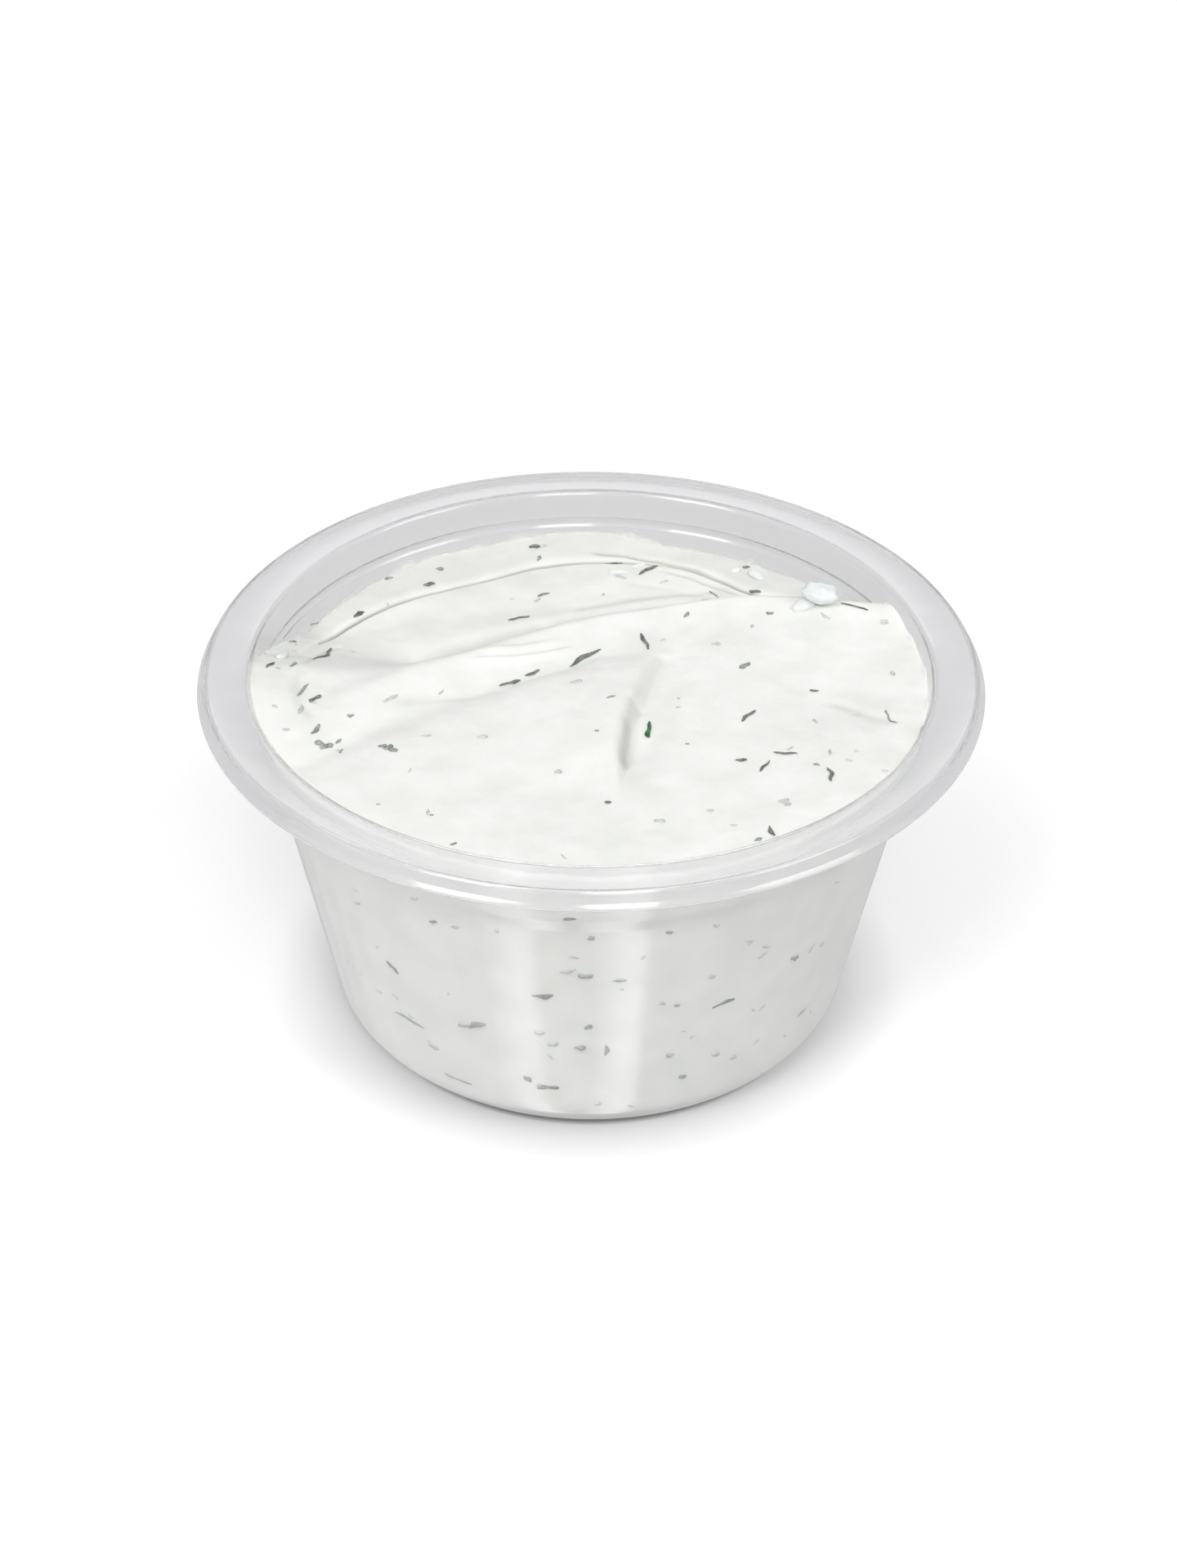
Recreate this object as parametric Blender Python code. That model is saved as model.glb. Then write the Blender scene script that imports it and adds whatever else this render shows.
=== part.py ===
# A round clear plastic pot of tzatziki with flecks of dill, lid off.
# Metres, +Z up. The origin is the centre of the pot's foot, on the surface it stands on.
# The camera of the reference looks along +Y, so "back" is +Y and "front" is -Y.

import math
import random
from collections import namedtuple

import bmesh
import bpy
from mathutils import Matrix, Vector

MM = 0.001
UP = Vector((0.0, 0.0, 1.0))
SEGMENTS = 80

# The pot, a thin formed sheet with one thickness all over
SHEET = 0.55 * MM
POT_HEIGHT = 47.5 * MM
RIM_RADIUS = 47.5 * MM
HEEL_RADIUS = 4.2 * MM
HEEL_STEPS = 3
WALL_TAPER = math.radians(11.4)
MOUTH_RADIUS = 41.0 * MM
MOUTH_FILLET = 0.8 * MM
BASE_LIFT = 1.0 * MM
FOOT_WIDTH = 2.2 * MM
LIFT_RAMP = 1.3 * MM

# The stacking shoulder, where the wall steps out a little below the flange
SHOULDER_LOW = 36.2 * MM
SHOULDER_HIGH = 38.1 * MM
SHOULDER_STEP = 0.3 * MM

# The flange: a flat ring, dished towards the mouth, with a rolled outer skirt
FLAT_OUTER = 45.8 * MM
FLAT_DISH = 0.2 * MM
SKIRT_RADIUS = 46.6 * MM
SKIRT_DROP = 0.75 * MM
ROLL_EASE = 0.2 * MM
LIP_INNER = 46.95 * MM
LIP_BOTTOM = 45.15 * MM
LIP_RISE = 0.35 * MM

# The tzatziki, which stands this far off the plastic
GAP = 0.3 * MM
RINGS = 26
SIDE_LEVEL = 20.0 * MM
FRONT_LEVEL = 45.0 * MM
SCOOP_LEVEL = 39.8 * MM
SMEAR_LEVEL = 40.2 * MM
SMEAR_PEAK = 1.0 * MM
SMEAR_WIDTH = 4.0 * MM

# The slope from the crest down into the hollow: long on the left, steep on the right
SLOPE_LONG = 9.0 * MM
SLOPE_SHORT = 4.5 * MM
SLOPE_START = -5.0 * MM
SLOPE_REACH = 25.0 * MM

# The curved crest that bounds the scooped hollow, a parabola in plan
CREST_TIP = Vector((22.0, 17.5)) * MM
CREST_REACH = 46.5 * MM
CREST_FALL = 19.0 * MM

# The hollow runs round the back between these bearings, measured from +X
HOLLOW_RIGHT = math.radians(22.0)
HOLLOW_LEFT = math.radians(181.0)
RIGHT_BLEND = math.radians(9.0)
LEFT_BLEND = math.radians(26.0)
SMEAR_BEARING = math.radians(100.0)
SMEAR_SPREAD = math.radians(32.0)

# The crease where the smear on the wall meets the floor of the hollow
CREASE_RADIUS = 35.6 * MM
CREASE_DRIFT = 0.7 * MM
CREASE_DRIFTS_PER_TURN = 4.0
CREASE_DRIFT_PHASE = 0.25
CREASE_WOBBLE = 0.25 * MM
CREASE_WOBBLES_PER_TURN = 11.0
CREASE_STEP = 0.5 * MM
CREASE_WIDTH = 0.9 * MM
CREASE_CUT = 0.35 * MM
LUMP_RISE = 0.3 * MM
LUMPS_PER_TURN = 9.0
STREAK_RISE = 0.13 * MM
STREAK_PITCH = 1.5 * MM
STREAK_LEAN = 0.25

# The front mass: a ridge along the crest, a trough in front of it and long low waves
RIDGE_RISE = 0.7 * MM
RIDGE_WIDTH = 3.0 * MM
TROUGH_CUT = 0.55 * MM
TROUGH_PLACE = 9.0 * MM
TROUGH_WIDTH = 3.2 * MM
TROUGH_END = 12.0 * MM
TROUGH_FADE = 14.0 * MM
WAVE_RISE = 0.3 * MM
WAVE_LENGTH_X = 9.0 * MM
WAVE_LENGTH_Y = 11.0 * MM
WAVE_PHASE_X = 0.8
WAVE_PHASE_Y = 0.5

# Round rises and dishes: where they are in plan, how high and how wide
Mound = namedtuple("Mound", "x y rise width")
RIGHT_DISH = Mound(29.0 * MM, -2.0 * MM, -0.7 * MM, 7.5 * MM)
LOW_DISH = Mound(-4.0 * MM, -23.0 * MM, -0.5 * MM, 8.0 * MM)
LEFT_RISE = Mound(-43.0 * MM, -7.0 * MM, 1.5 * MM, 10.0 * MM)
WALL_CLUMP = Mound(29.6 * MM, 24.4 * MM, 1.9 * MM, 2.2 * MM)

# The pull of the spoon across the front mass, a short fold with one steep side
FOLD_TOP = Vector((8.1, 3.6)) * MM
FOLD_TOE = Vector((3.6, -20.5)) * MM
FOLD_DEPTH = 1.3 * MM
FOLD_WIDTH = 1.5 * MM
FOLD_FLOOR = 3.3 * MM
FOLD_SHOULDER = 5.0 * MM
# Where along its line, from 0 at its top to 1 at its toe, the fold starts, is full, fades and ends
FOLD_START = -0.3
FOLD_FULL = 0.5
FOLD_FADE = 0.8
FOLD_END = 1.15

# Dill on the surface, the pieces large enough to see from a step away
DILL_COUNT = 34
DILL_SEED = 7
DILL_LENGTH = (1.7 * MM, 3.4 * MM)
DILL_WIDTH = 0.62 * MM
DILL_THICK = 0.5 * MM
DILL_SPREAD = 0.86
DILL_FIRST = 0.6
DILL_STRAY = 0.12
GOLDEN_ANGLE = math.pi * (3.0 - math.sqrt(5.0))


def clear_scene():
    for obj in list(bpy.data.objects):
        bpy.data.objects.remove(obj, do_unlink=True)


def smooth_step(value):
    value = min(max(value, 0.0), 1.0)
    return value * value * (3.0 - 2.0 * value)


def bell(value):
    return math.exp(-value * value)


def material(name, color, roughness, alpha=1.0):
    mat = bpy.data.materials.new(name)
    mat.use_nodes = True
    shader = mat.node_tree.nodes["Principled BSDF"]
    shader.inputs["Base Color"].default_value = (*color, 1.0)
    shader.inputs["Roughness"].default_value = roughness
    shader.inputs["Metallic"].default_value = 0.0
    shader.inputs["Alpha"].default_value = alpha
    mat.diffuse_color = (*color, alpha)
    return mat


def finish_object(obj, mat, sharp_angle):
    obj.data.materials.append(mat)
    obj.data.shade_smooth()
    obj.data.set_sharp_from_angle(angle=math.radians(sharp_angle))


# The pot

def inner_radius(z):
    """The radius of the pot's inner wall at a height, above the heel."""
    step = smooth_step((z - SHOULDER_LOW) / (SHOULDER_HIGH - SHOULDER_LOW))
    top = POT_HEIGHT - MOUTH_FILLET
    return MOUTH_RADIUS - (top - z) * math.tan(WALL_TAPER) - SHOULDER_STEP * (1.0 - step)


def arc(center, radius, start, end, steps):
    """Points of an arc in the profile plane, both ends included."""
    points = []
    for i in range(steps + 1):
        turn = start + (end - start) * i / steps
        points.append(center + radius * Vector((math.cos(turn), math.sin(turn))))
    return points


def floor_profile(lift):
    """The inner face, raised by lift, from the axis over the base to the top of the heel."""
    heel_top = SHEET + HEEL_RADIUS * (1.0 - math.sin(WALL_TAPER))
    heel_center = inner_radius(heel_top) - HEEL_RADIUS * math.cos(WALL_TAPER)
    foot_inner = heel_center - FOOT_WIDTH
    floor = SHEET + lift
    points = [
        Vector((0.0, BASE_LIFT + floor)),
        Vector((foot_inner - LIFT_RAMP, BASE_LIFT + floor)),
        Vector((foot_inner, floor)),
    ]
    center = Vector((heel_center, SHEET + HEEL_RADIUS))
    return points + arc(center, HEEL_RADIUS - lift, -0.5 * math.pi, -WALL_TAPER, HEEL_STEPS)


def top_face_profile():
    """The face that holds the food, from the axis up the wall and over the flange to the lip."""
    fillet = Vector((MOUTH_RADIUS + MOUTH_FILLET, POT_HEIGHT - FLAT_DISH - MOUTH_FILLET))
    points = floor_profile(0.0)
    points.append(Vector((inner_radius(SHOULDER_LOW), SHOULDER_LOW)))
    points.append(Vector((inner_radius(SHOULDER_HIGH), SHOULDER_HIGH)))
    points += arc(fillet, MOUTH_FILLET, math.pi - WALL_TAPER, 0.5 * math.pi, 2)
    points.append(Vector((FLAT_OUTER, POT_HEIGHT)))
    points.append(Vector((SKIRT_RADIUS - ROLL_EASE, POT_HEIGHT - ROLL_EASE)))
    points.append(Vector((SKIRT_RADIUS, POT_HEIGHT - SKIRT_DROP)))
    points.append(Vector((LIP_INNER, LIP_BOTTOM + SHEET + LIP_RISE)))
    points.append(Vector((RIM_RADIUS, LIP_BOTTOM + SHEET)))
    return points


def offset_profile(points, distance):
    """The other face of the sheet: each point moved square to the path, to its right."""
    moved = []
    for i, point in enumerate(points):
        before = points[max(i - 1, 0)]
        after = points[min(i + 1, len(points) - 1)]
        into = (point - before).normalized() if i else (after - point).normalized()
        out = (after - point).normalized() if i < len(points) - 1 else into
        along = (into + out).normalized()
        normal = Vector((along.y, -along.x))
        stretch = 1.0 / max(normal.dot(Vector((into.y, -into.x))), 0.5)
        moved.append(point + normal * distance * stretch)
    return moved


def pot_profile():
    """The closed section of the sheet, from the axis inside, over the lip, to the axis below."""
    top_face = top_face_profile()
    under = offset_profile(top_face, SHEET)
    under[0] = Vector((0.0, BASE_LIFT))
    under[-1] = Vector((RIM_RADIUS, LIP_BOTTOM))
    return top_face + under[::-1]


def build_pot():
    mesh = bpy.data.meshes.new("pot")
    profile = pot_profile()
    verts = [(p.x, 0.0, p.y) for p in profile]
    edges = [(i, i + 1) for i in range(len(verts) - 1)]
    mesh.from_pydata(verts, edges, [])
    pot = bpy.data.objects.new("pot", mesh)
    bpy.context.scene.collection.objects.link(pot)
    turn = pot.modifiers.new("turn", "SCREW")
    turn.axis = "Z"
    turn.steps = SEGMENTS
    turn.render_steps = SEGMENTS
    turn.use_merge_vertices = True
    turn.merge_threshold = 0.00001
    turn.use_smooth_shade = True
    finish_object(pot, material("clear_plastic", (0.86, 0.87, 0.89), 0.08, 0.35), 40.0)
    return pot


# The tzatziki

def crest_line(x):
    """Where the crest of the front mass runs: its y at an x."""
    reach = (CREST_TIP.x - x) / CREST_REACH
    return CREST_TIP.y - CREST_FALL * reach * reach


def slope_width(x):
    return SLOPE_LONG + (SLOPE_SHORT - SLOPE_LONG) * smooth_step((x - SLOPE_START) / SLOPE_REACH)


def hollow_share(bearing):
    """1 where the scooped hollow is at its full depth, 0 where the front mass meets the wall."""
    right = smooth_step((bearing - HOLLOW_RIGHT) / RIGHT_BLEND)
    left = smooth_step((HOLLOW_LEFT - bearing) / LEFT_BLEND)
    return right * left


def mound_height(mound, x, y):
    return mound.rise * bell(math.hypot(x - mound.x, y - mound.y) / mound.width)


def fold_relief(x, y):
    """The spoon's fold: a soft rise on its left that drops steeply along its line."""
    along = (FOLD_TOP.y - y) / (FOLD_TOP.y - FOLD_TOE.y)
    bend = math.sqrt(max(along, 0.0))
    across = x - FOLD_TOP.x - (FOLD_TOE.x - FOLD_TOP.x) * bend
    strength = smooth_step((along - FOLD_START) / (FOLD_FULL - FOLD_START))
    strength *= smooth_step((FOLD_END - along) / (FOLD_END - FOLD_FADE))
    if across < 0.0:
        return 0.5 * strength * FOLD_DEPTH * bell(across / FOLD_SHOULDER)
    drop = smooth_step(across / FOLD_WIDTH)
    back = smooth_step((across - FOLD_WIDTH) / FOLD_FLOOR)
    return strength * FOLD_DEPTH * (0.5 - drop + 0.5 * back)


def front_height(x, y):
    """The front mass: long low waves left by the spoon, with a crisp ridge behind them."""
    behind = y - crest_line(x)
    ridge = RIDGE_RISE * bell(behind / RIDGE_WIDTH)
    trough = -TROUGH_CUT * bell((behind + TROUGH_PLACE) / TROUGH_WIDTH)
    trough *= smooth_step((TROUGH_END - x) / TROUGH_FADE)
    wave = WAVE_RISE * math.sin(x / WAVE_LENGTH_X + WAVE_PHASE_X)
    wave *= math.cos(y / WAVE_LENGTH_Y - WAVE_PHASE_Y)
    mounds = sum(mound_height(mound, x, y) for mound in (RIGHT_DISH, LOW_DISH, LEFT_RISE))
    return FRONT_LEVEL + ridge + trough + wave + mounds + fold_relief(x, y)


def past_crease(radius, bearing):
    """How far a place lies outside the crease, which wanders in and out round the back."""
    turn = bearing - SMEAR_BEARING + CREASE_DRIFT_PHASE
    drift = CREASE_DRIFT * math.cos(CREASE_DRIFTS_PER_TURN * turn)
    wobble = CREASE_WOBBLE * math.sin(CREASE_WOBBLES_PER_TURN * bearing)
    return radius - CREASE_RADIUS - drift - wobble


def hollow_height(x, y):
    """The floor of the scoop and the smear that climbs the wall outside its crease."""
    bearing = math.atan2(y, x)
    past = past_crease(math.hypot(x, y), bearing)
    top = SMEAR_LEVEL + SMEAR_PEAK * bell((bearing - SMEAR_BEARING) / SMEAR_SPREAD)
    lip = CREASE_STEP * smooth_step(past / CREASE_WIDTH) - CREASE_CUT * bell(past / CREASE_WIDTH)
    climb = (top - SCOOP_LEVEL - CREASE_STEP) * smooth_step(past / SMEAR_WIDTH)
    lumps = LUMP_RISE * math.sin(LUMPS_PER_TURN * bearing) * smooth_step(past / SMEAR_WIDTH)
    streaks = STREAK_RISE * math.sin((y - STREAK_LEAN * x) / STREAK_PITCH)
    return SCOOP_LEVEL + lip + climb + lumps + streaks + mound_height(WALL_CLUMP, x, y)


def surface_height(x, y):
    """The height of the tzatziki's top at a place in plan."""
    front = front_height(x, y)
    behind = y - crest_line(x)
    bearing = math.atan2(y, x) % (2.0 * math.pi)
    if behind <= 0.0 or bearing > math.pi:
        return front
    share = smooth_step(behind / slope_width(x)) * hollow_share(bearing)
    return front + (hollow_height(x, y) - front) * share


def edge_point(bearing):
    """Where the top meets the wall: found by a few steps, as the wall leans."""
    radius = inner_radius(FRONT_LEVEL) - GAP
    for _ in range(4):
        height = surface_height(radius * math.cos(bearing), radius * math.sin(bearing))
        radius = inner_radius(height) - GAP
    return radius, height


def top_rings():
    """Rings of the top from the middle out to the wall, closer together near the wall."""
    rings = []
    for i in range(1, RINGS + 1):
        share = math.sin(0.5 * math.pi * i / RINGS)
        ring = []
        for j in range(SEGMENTS):
            bearing = 2.0 * math.pi * j / SEGMENTS
            radius = edge_point(bearing)[0] * share
            x = radius * math.cos(bearing)
            y = radius * math.sin(bearing)
            ring.append(Vector((x, y, surface_height(x, y))))
        rings.append(ring)
    return rings


def side_rings():
    """Rings down the wall and over the heel, from below the top's edge to the base."""
    levels = (SHOULDER_HIGH, SHOULDER_LOW, SIDE_LEVEL)
    profile = [Vector((inner_radius(z) - GAP, z)) for z in levels]
    profile += floor_profile(GAP)[:0:-1]
    rings = []
    for point in profile:
        turns = [2.0 * math.pi * j / SEGMENTS for j in range(SEGMENTS)]
        rings.append([Vector((point.x * math.cos(t), point.x * math.sin(t), point.y)) for t in turns])
    return rings


def skin_rings(rings, first_pole, last_pole):
    """A closed mesh over a stack of rings, with a point at each end."""
    bm = bmesh.new()
    loops = [[bm.verts.new(point) for point in ring] for ring in rings]
    start = bm.verts.new(first_pole)
    end = bm.verts.new(last_pole)
    for j in range(SEGMENTS):
        after = (j + 1) % SEGMENTS
        bm.faces.new((start, loops[0][j], loops[0][after]))
        bm.faces.new((end, loops[-1][after], loops[-1][j]))
        for upper, lower in zip(loops, loops[1:]):
            bm.faces.new((upper[after], upper[j], lower[j], lower[after]))
    bmesh.ops.recalc_face_normals(bm, faces=bm.faces)
    bmesh.ops.triangulate(bm, faces=bm.faces)
    mesh = bpy.data.meshes.new("tzatziki")
    bm.to_mesh(mesh)
    bm.free()
    return mesh


def dill_piece(collection, index, place, tilt, heading, length):
    """One short leaf of dill, a flattened pointed bead half sunk in the surface."""
    bm = bmesh.new()
    bmesh.ops.create_uvsphere(bm, u_segments=6, v_segments=4, radius=0.5)
    stand = Matrix.Rotation(0.5 * math.pi, 4, "Y")
    size = Matrix.Diagonal((length, DILL_WIDTH, DILL_THICK, 1.0))
    turn = Matrix.Rotation(heading, 4, "Z")
    bmesh.ops.transform(bm, matrix=Matrix.Translation(place) @ tilt @ turn @ size @ stand, verts=bm.verts)
    mesh = bpy.data.meshes.new("dill")
    bm.to_mesh(mesh)
    bm.free()
    piece = bpy.data.objects.new(f"dill_{index:02d}", mesh)
    piece.hide_render = True
    piece.display_type = "WIRE"
    collection.objects.link(piece)


def scatter_dill(collection, dip):
    """Leaves spread evenly over the top along a sunflower spiral, each turned at random."""
    draw = random.Random(DILL_SEED)
    reach = MOUTH_RADIUS * DILL_SPREAD
    for i in range(DILL_COUNT):
        radius = reach * math.sqrt((i + DILL_FIRST) / DILL_COUNT)
        bearing = i * GOLDEN_ANGLE + draw.uniform(-DILL_STRAY, DILL_STRAY)
        x = radius * math.cos(bearing)
        y = radius * math.sin(bearing)
        length = draw.uniform(*DILL_LENGTH)
        _, place, normal, _ = dip.ray_cast(Vector((x, y, POT_HEIGHT)), -UP)
        tilt = UP.rotation_difference(normal).to_matrix().to_4x4()
        dill_piece(collection, i, place, tilt, draw.uniform(0.0, math.pi), length)


def build_tzatziki():
    rings = top_rings() + side_rings()
    top = (0.0, 0.0, surface_height(0.0, 0.0))
    base = (0.0, 0.0, BASE_LIFT + SHEET + GAP)
    dip = bpy.data.objects.new("tzatziki", skin_rings(rings, top, base))
    bpy.context.scene.collection.objects.link(dip)
    collection = bpy.data.collections.new("dill")
    bpy.context.scene.collection.children.link(collection)
    bpy.context.view_layer.update()
    scatter_dill(collection, dip)
    fuse = dip.modifiers.new("fuse_dill", "BOOLEAN")
    fuse.operation = "UNION"
    fuse.operand_type = "COLLECTION"
    fuse.collection = collection
    fuse.solver = "EXACT"
    apply_modifiers(dip)
    for piece in list(collection.objects):
        bpy.data.objects.remove(piece, do_unlink=True)
    bpy.data.collections.remove(collection)
    finish_object(dip, material("white_dip", (0.90, 0.90, 0.86), 0.45), 40.0)
    return dip


def apply_modifiers(obj):
    bpy.context.view_layer.update()
    graph = bpy.context.evaluated_depsgraph_get()
    mesh = bpy.data.meshes.new_from_object(obj.evaluated_get(graph))
    obj.modifiers.clear()
    obj.data = mesh


clear_scene()
build_pot()
build_tzatziki()
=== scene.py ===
# An open clear plastic pot of tzatziki with flecks of dill, dressed and lit for the camera.
# Metres, +Z up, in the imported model's frame: the origin is the centre of the pot's foot.
# The camera looks along +Y, so "back" is +Y and "front" is -Y.
# Pixels are those of the photograph's frame, 1440 wide and 1918 high, from its top left corner.

import math
import random
from collections import namedtuple

import bmesh
import bpy
from mathutils import Matrix, Vector, noise


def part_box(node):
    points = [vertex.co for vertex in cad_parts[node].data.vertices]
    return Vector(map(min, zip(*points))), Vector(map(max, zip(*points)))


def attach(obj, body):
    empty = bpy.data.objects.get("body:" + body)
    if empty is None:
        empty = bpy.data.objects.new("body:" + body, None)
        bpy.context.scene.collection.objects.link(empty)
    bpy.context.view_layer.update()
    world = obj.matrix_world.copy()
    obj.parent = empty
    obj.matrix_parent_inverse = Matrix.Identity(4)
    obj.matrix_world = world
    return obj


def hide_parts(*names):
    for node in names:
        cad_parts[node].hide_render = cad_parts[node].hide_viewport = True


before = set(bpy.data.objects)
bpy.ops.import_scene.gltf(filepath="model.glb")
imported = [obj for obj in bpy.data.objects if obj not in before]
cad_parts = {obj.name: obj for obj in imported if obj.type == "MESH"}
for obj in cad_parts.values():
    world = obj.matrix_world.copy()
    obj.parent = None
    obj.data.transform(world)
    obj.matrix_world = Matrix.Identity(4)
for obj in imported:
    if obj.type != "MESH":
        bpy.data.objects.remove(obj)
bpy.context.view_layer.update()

MM = 0.001
UP = Vector((0.0, 0.0, 1.0))
TURN = 2.0 * math.pi

# The camera: focal length in pixels of the photograph, place, pitch below the horizon and roll
PHOTO_WIDTH = 1440.0
PHOTO_HEIGHT = 1918.0
FOCAL_PIXELS = 3600.0
SENSOR_HEIGHT = 36.0
CAMERA_PLACE = Vector((-0.2502, -299.42, 239.09)) * MM
CAMERA_PITCH = math.radians(35.067)
CAMERA_ROLL = math.radians(0.394)
CLIP_START = 0.01
# A line of sight is followed in steps of this length, and the last one is then halved this often
SIGHT_STEP = 0.5 * MM
SIGHT_HALVINGS = 12

# The pot's sheet: overall sizes from the frame, the rest as real sizes
POT_LOW, POT_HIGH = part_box("pot")
POT_HEIGHT = POT_HIGH.z
RIM_RADIUS = POT_HIGH.x
SHEET = 0.55 * MM
HEEL_RADIUS = 4.2 * MM
WALL_TAPER = math.radians(11.4)
MOUTH_RADIUS = 41.0 * MM
MOUTH_FILLET = 1.0 * MM
BASE_LIFT = 1.0 * MM
FOOT_WIDTH = 2.2 * MM
LIFT_RAMP = 1.3 * MM
RAMP_ROUND = 0.8 * MM
SHOULDER_LOW = 36.2 * MM
SHOULDER_HIGH = 38.1 * MM
SHOULDER_STEP = 0.3 * MM
SHOULDER_ROUND = 1.2 * MM
BEAD_LEVEL = 43.0 * MM
BEAD_HALF = 0.55 * MM
BEAD_RISE = 0.28 * MM
BEAD_ROUND = 0.55 * MM
FLAT_DISH = 0.2 * MM
SKIRT_RADIUS = 46.55 * MM
SKIRT_ROUND = 0.85 * MM
LIP_INNER = 46.95 * MM
LIP_BEND = 46.05 * MM
LIP_BOTTOM = 45.15 * MM
LIP_SLOPE = math.radians(32.0)
LIP_STEPS = 8
POT_SEGMENTS = 360
ARC_STEP = math.radians(9.0)
PATH_STEP = 2.0 * MM
RIPPLE = 0.03 * MM
RIPPLE_PITCH = 14.0 * MM

# The tzatziki reaches this far into the sheet, so that no air shows between them
REACH = 0.15 * MM
DIP_SEGMENTS = 480
# Its rings: how many there are up to each share of the radius, closest at the crease and the wall
RING_BANDS = ((70, 0.78), (75, 0.96), (25, 1.0))
SIDE_RINGS = 10
EDGE_STEPS = 4
FRONT_LEVEL = 45.0 * MM
SCOOP_LEVEL = 39.8 * MM
SMEAR_LEVEL = 40.2 * MM
SMEAR_PEAK = 1.0 * MM
SMEAR_WIDTH = 4.0 * MM

# The slope from the crest down into the hollow: long on the left, steep on the right
SLOPE_LONG = 9.0 * MM
SLOPE_SHORT = 4.5 * MM
SLOPE_START = -5.0 * MM
SLOPE_REACH = 25.0 * MM

# The curved crest that bounds the scooped hollow, a parabola in plan
CREST_TIP = Vector((22.0, 17.5)) * MM
CREST_REACH = 46.5 * MM
CREST_FALL = 19.0 * MM
# It has slumped forward by this much between its two ends
CREST_WEAR = 1.9 * MM
WEAR_LEFT = -30.0 * MM
WEAR_RIGHT = 21.0 * MM
WEAR_FADE = 15.0 * MM

# The hollow runs round the back between these bearings, measured from +X
HOLLOW_RIGHT = math.radians(22.0)
HOLLOW_LEFT = math.radians(181.0)
RIGHT_BLEND = math.radians(9.0)
LEFT_BLEND = math.radians(30.0)
SMEAR_BEARING = math.radians(100.0)
SMEAR_SPREAD = math.radians(32.0)

# The crease where the smear on the wall meets the floor of the hollow: bearing in degrees and radius
CREASE = (
    (15.0, 39.5 * MM), (42.0, 37.0 * MM), (52.0, 34.6 * MM), (62.0, 35.4 * MM), (74.0, 36.0 * MM),
    (88.0, 35.7 * MM), (101.0, 35.0 * MM), (112.0, 33.9 * MM), (121.0, 33.8 * MM), (134.0, 34.9 * MM),
    (146.0, 36.2 * MM), (158.0, 37.0 * MM), (185.0, 38.0 * MM),
)
CREASE_STEP = 0.2 * MM
CREASE_RISE_WIDTH = 1.6 * MM
CREASE_WIDTH = 0.25 * MM
CREASE_CUT = 0.5 * MM
LUMP_RISE = 0.3 * MM
LUMPS_PER_TURN = 9.0
STREAK_RISE = 0.13 * MM
STREAK_PITCH = 1.5 * MM
STREAK_LEAN = 0.25

# The front mass: a ridge along the crest, a trough in front of it and long low waves
RIDGE_RISE = 0.7 * MM
RIDGE_WIDTH = 3.0 * MM
RIDGE_LEFT = -38.0 * MM
RIDGE_FADE = 18.0 * MM
TROUGH_CUT = 0.55 * MM
TROUGH_PLACE = 9.0 * MM
TROUGH_WIDTH = 3.2 * MM
TROUGH_END = 12.0 * MM
TROUGH_FADE = 14.0 * MM
WAVE_RISE = 0.3 * MM
WAVE_LENGTH_X = 9.0 * MM
WAVE_LENGTH_Y = 11.0 * MM
WAVE_PHASE_X = 0.8
WAVE_PHASE_Y = -0.5

# Round rises and dishes: where they are in plan, how high and how wide
Mound = namedtuple("Mound", "x y rise width")
RIGHT_DISH = Mound(29.0 * MM, -2.0 * MM, -0.7 * MM, 7.5 * MM)
LOW_DISH = Mound(-4.0 * MM, -23.0 * MM, -0.5 * MM, 8.0 * MM)
LEFT_RISE = Mound(-43.0 * MM, -7.0 * MM, 1.5 * MM, 10.0 * MM)
WALL_CLUMP = Mound(29.6 * MM, 24.4 * MM, 1.9 * MM, 2.2 * MM)

# The pull of the spoon across the front mass, a short fold with one steep side
FOLD_TOP = Vector((7.8, 4.2)) * MM
FOLD_TOE = Vector((2.8, -20.5)) * MM
FOLD_DEPTH = 2.1 * MM
FOLD_WIDTH_TOP = 2.4 * MM
FOLD_WIDTH_TOE = 1.2 * MM
FOLD_FLOOR = 6.0 * MM
FOLD_SHOULDER = 5.0 * MM
# Shares of its length where it starts, reaches its full depth, begins to fade and ends
FOLD_START = -0.3
FOLD_FULL = 0.5
FOLD_FADE = 0.8
FOLD_END = 1.15
FOLD_NARROWING = 1.4

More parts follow.
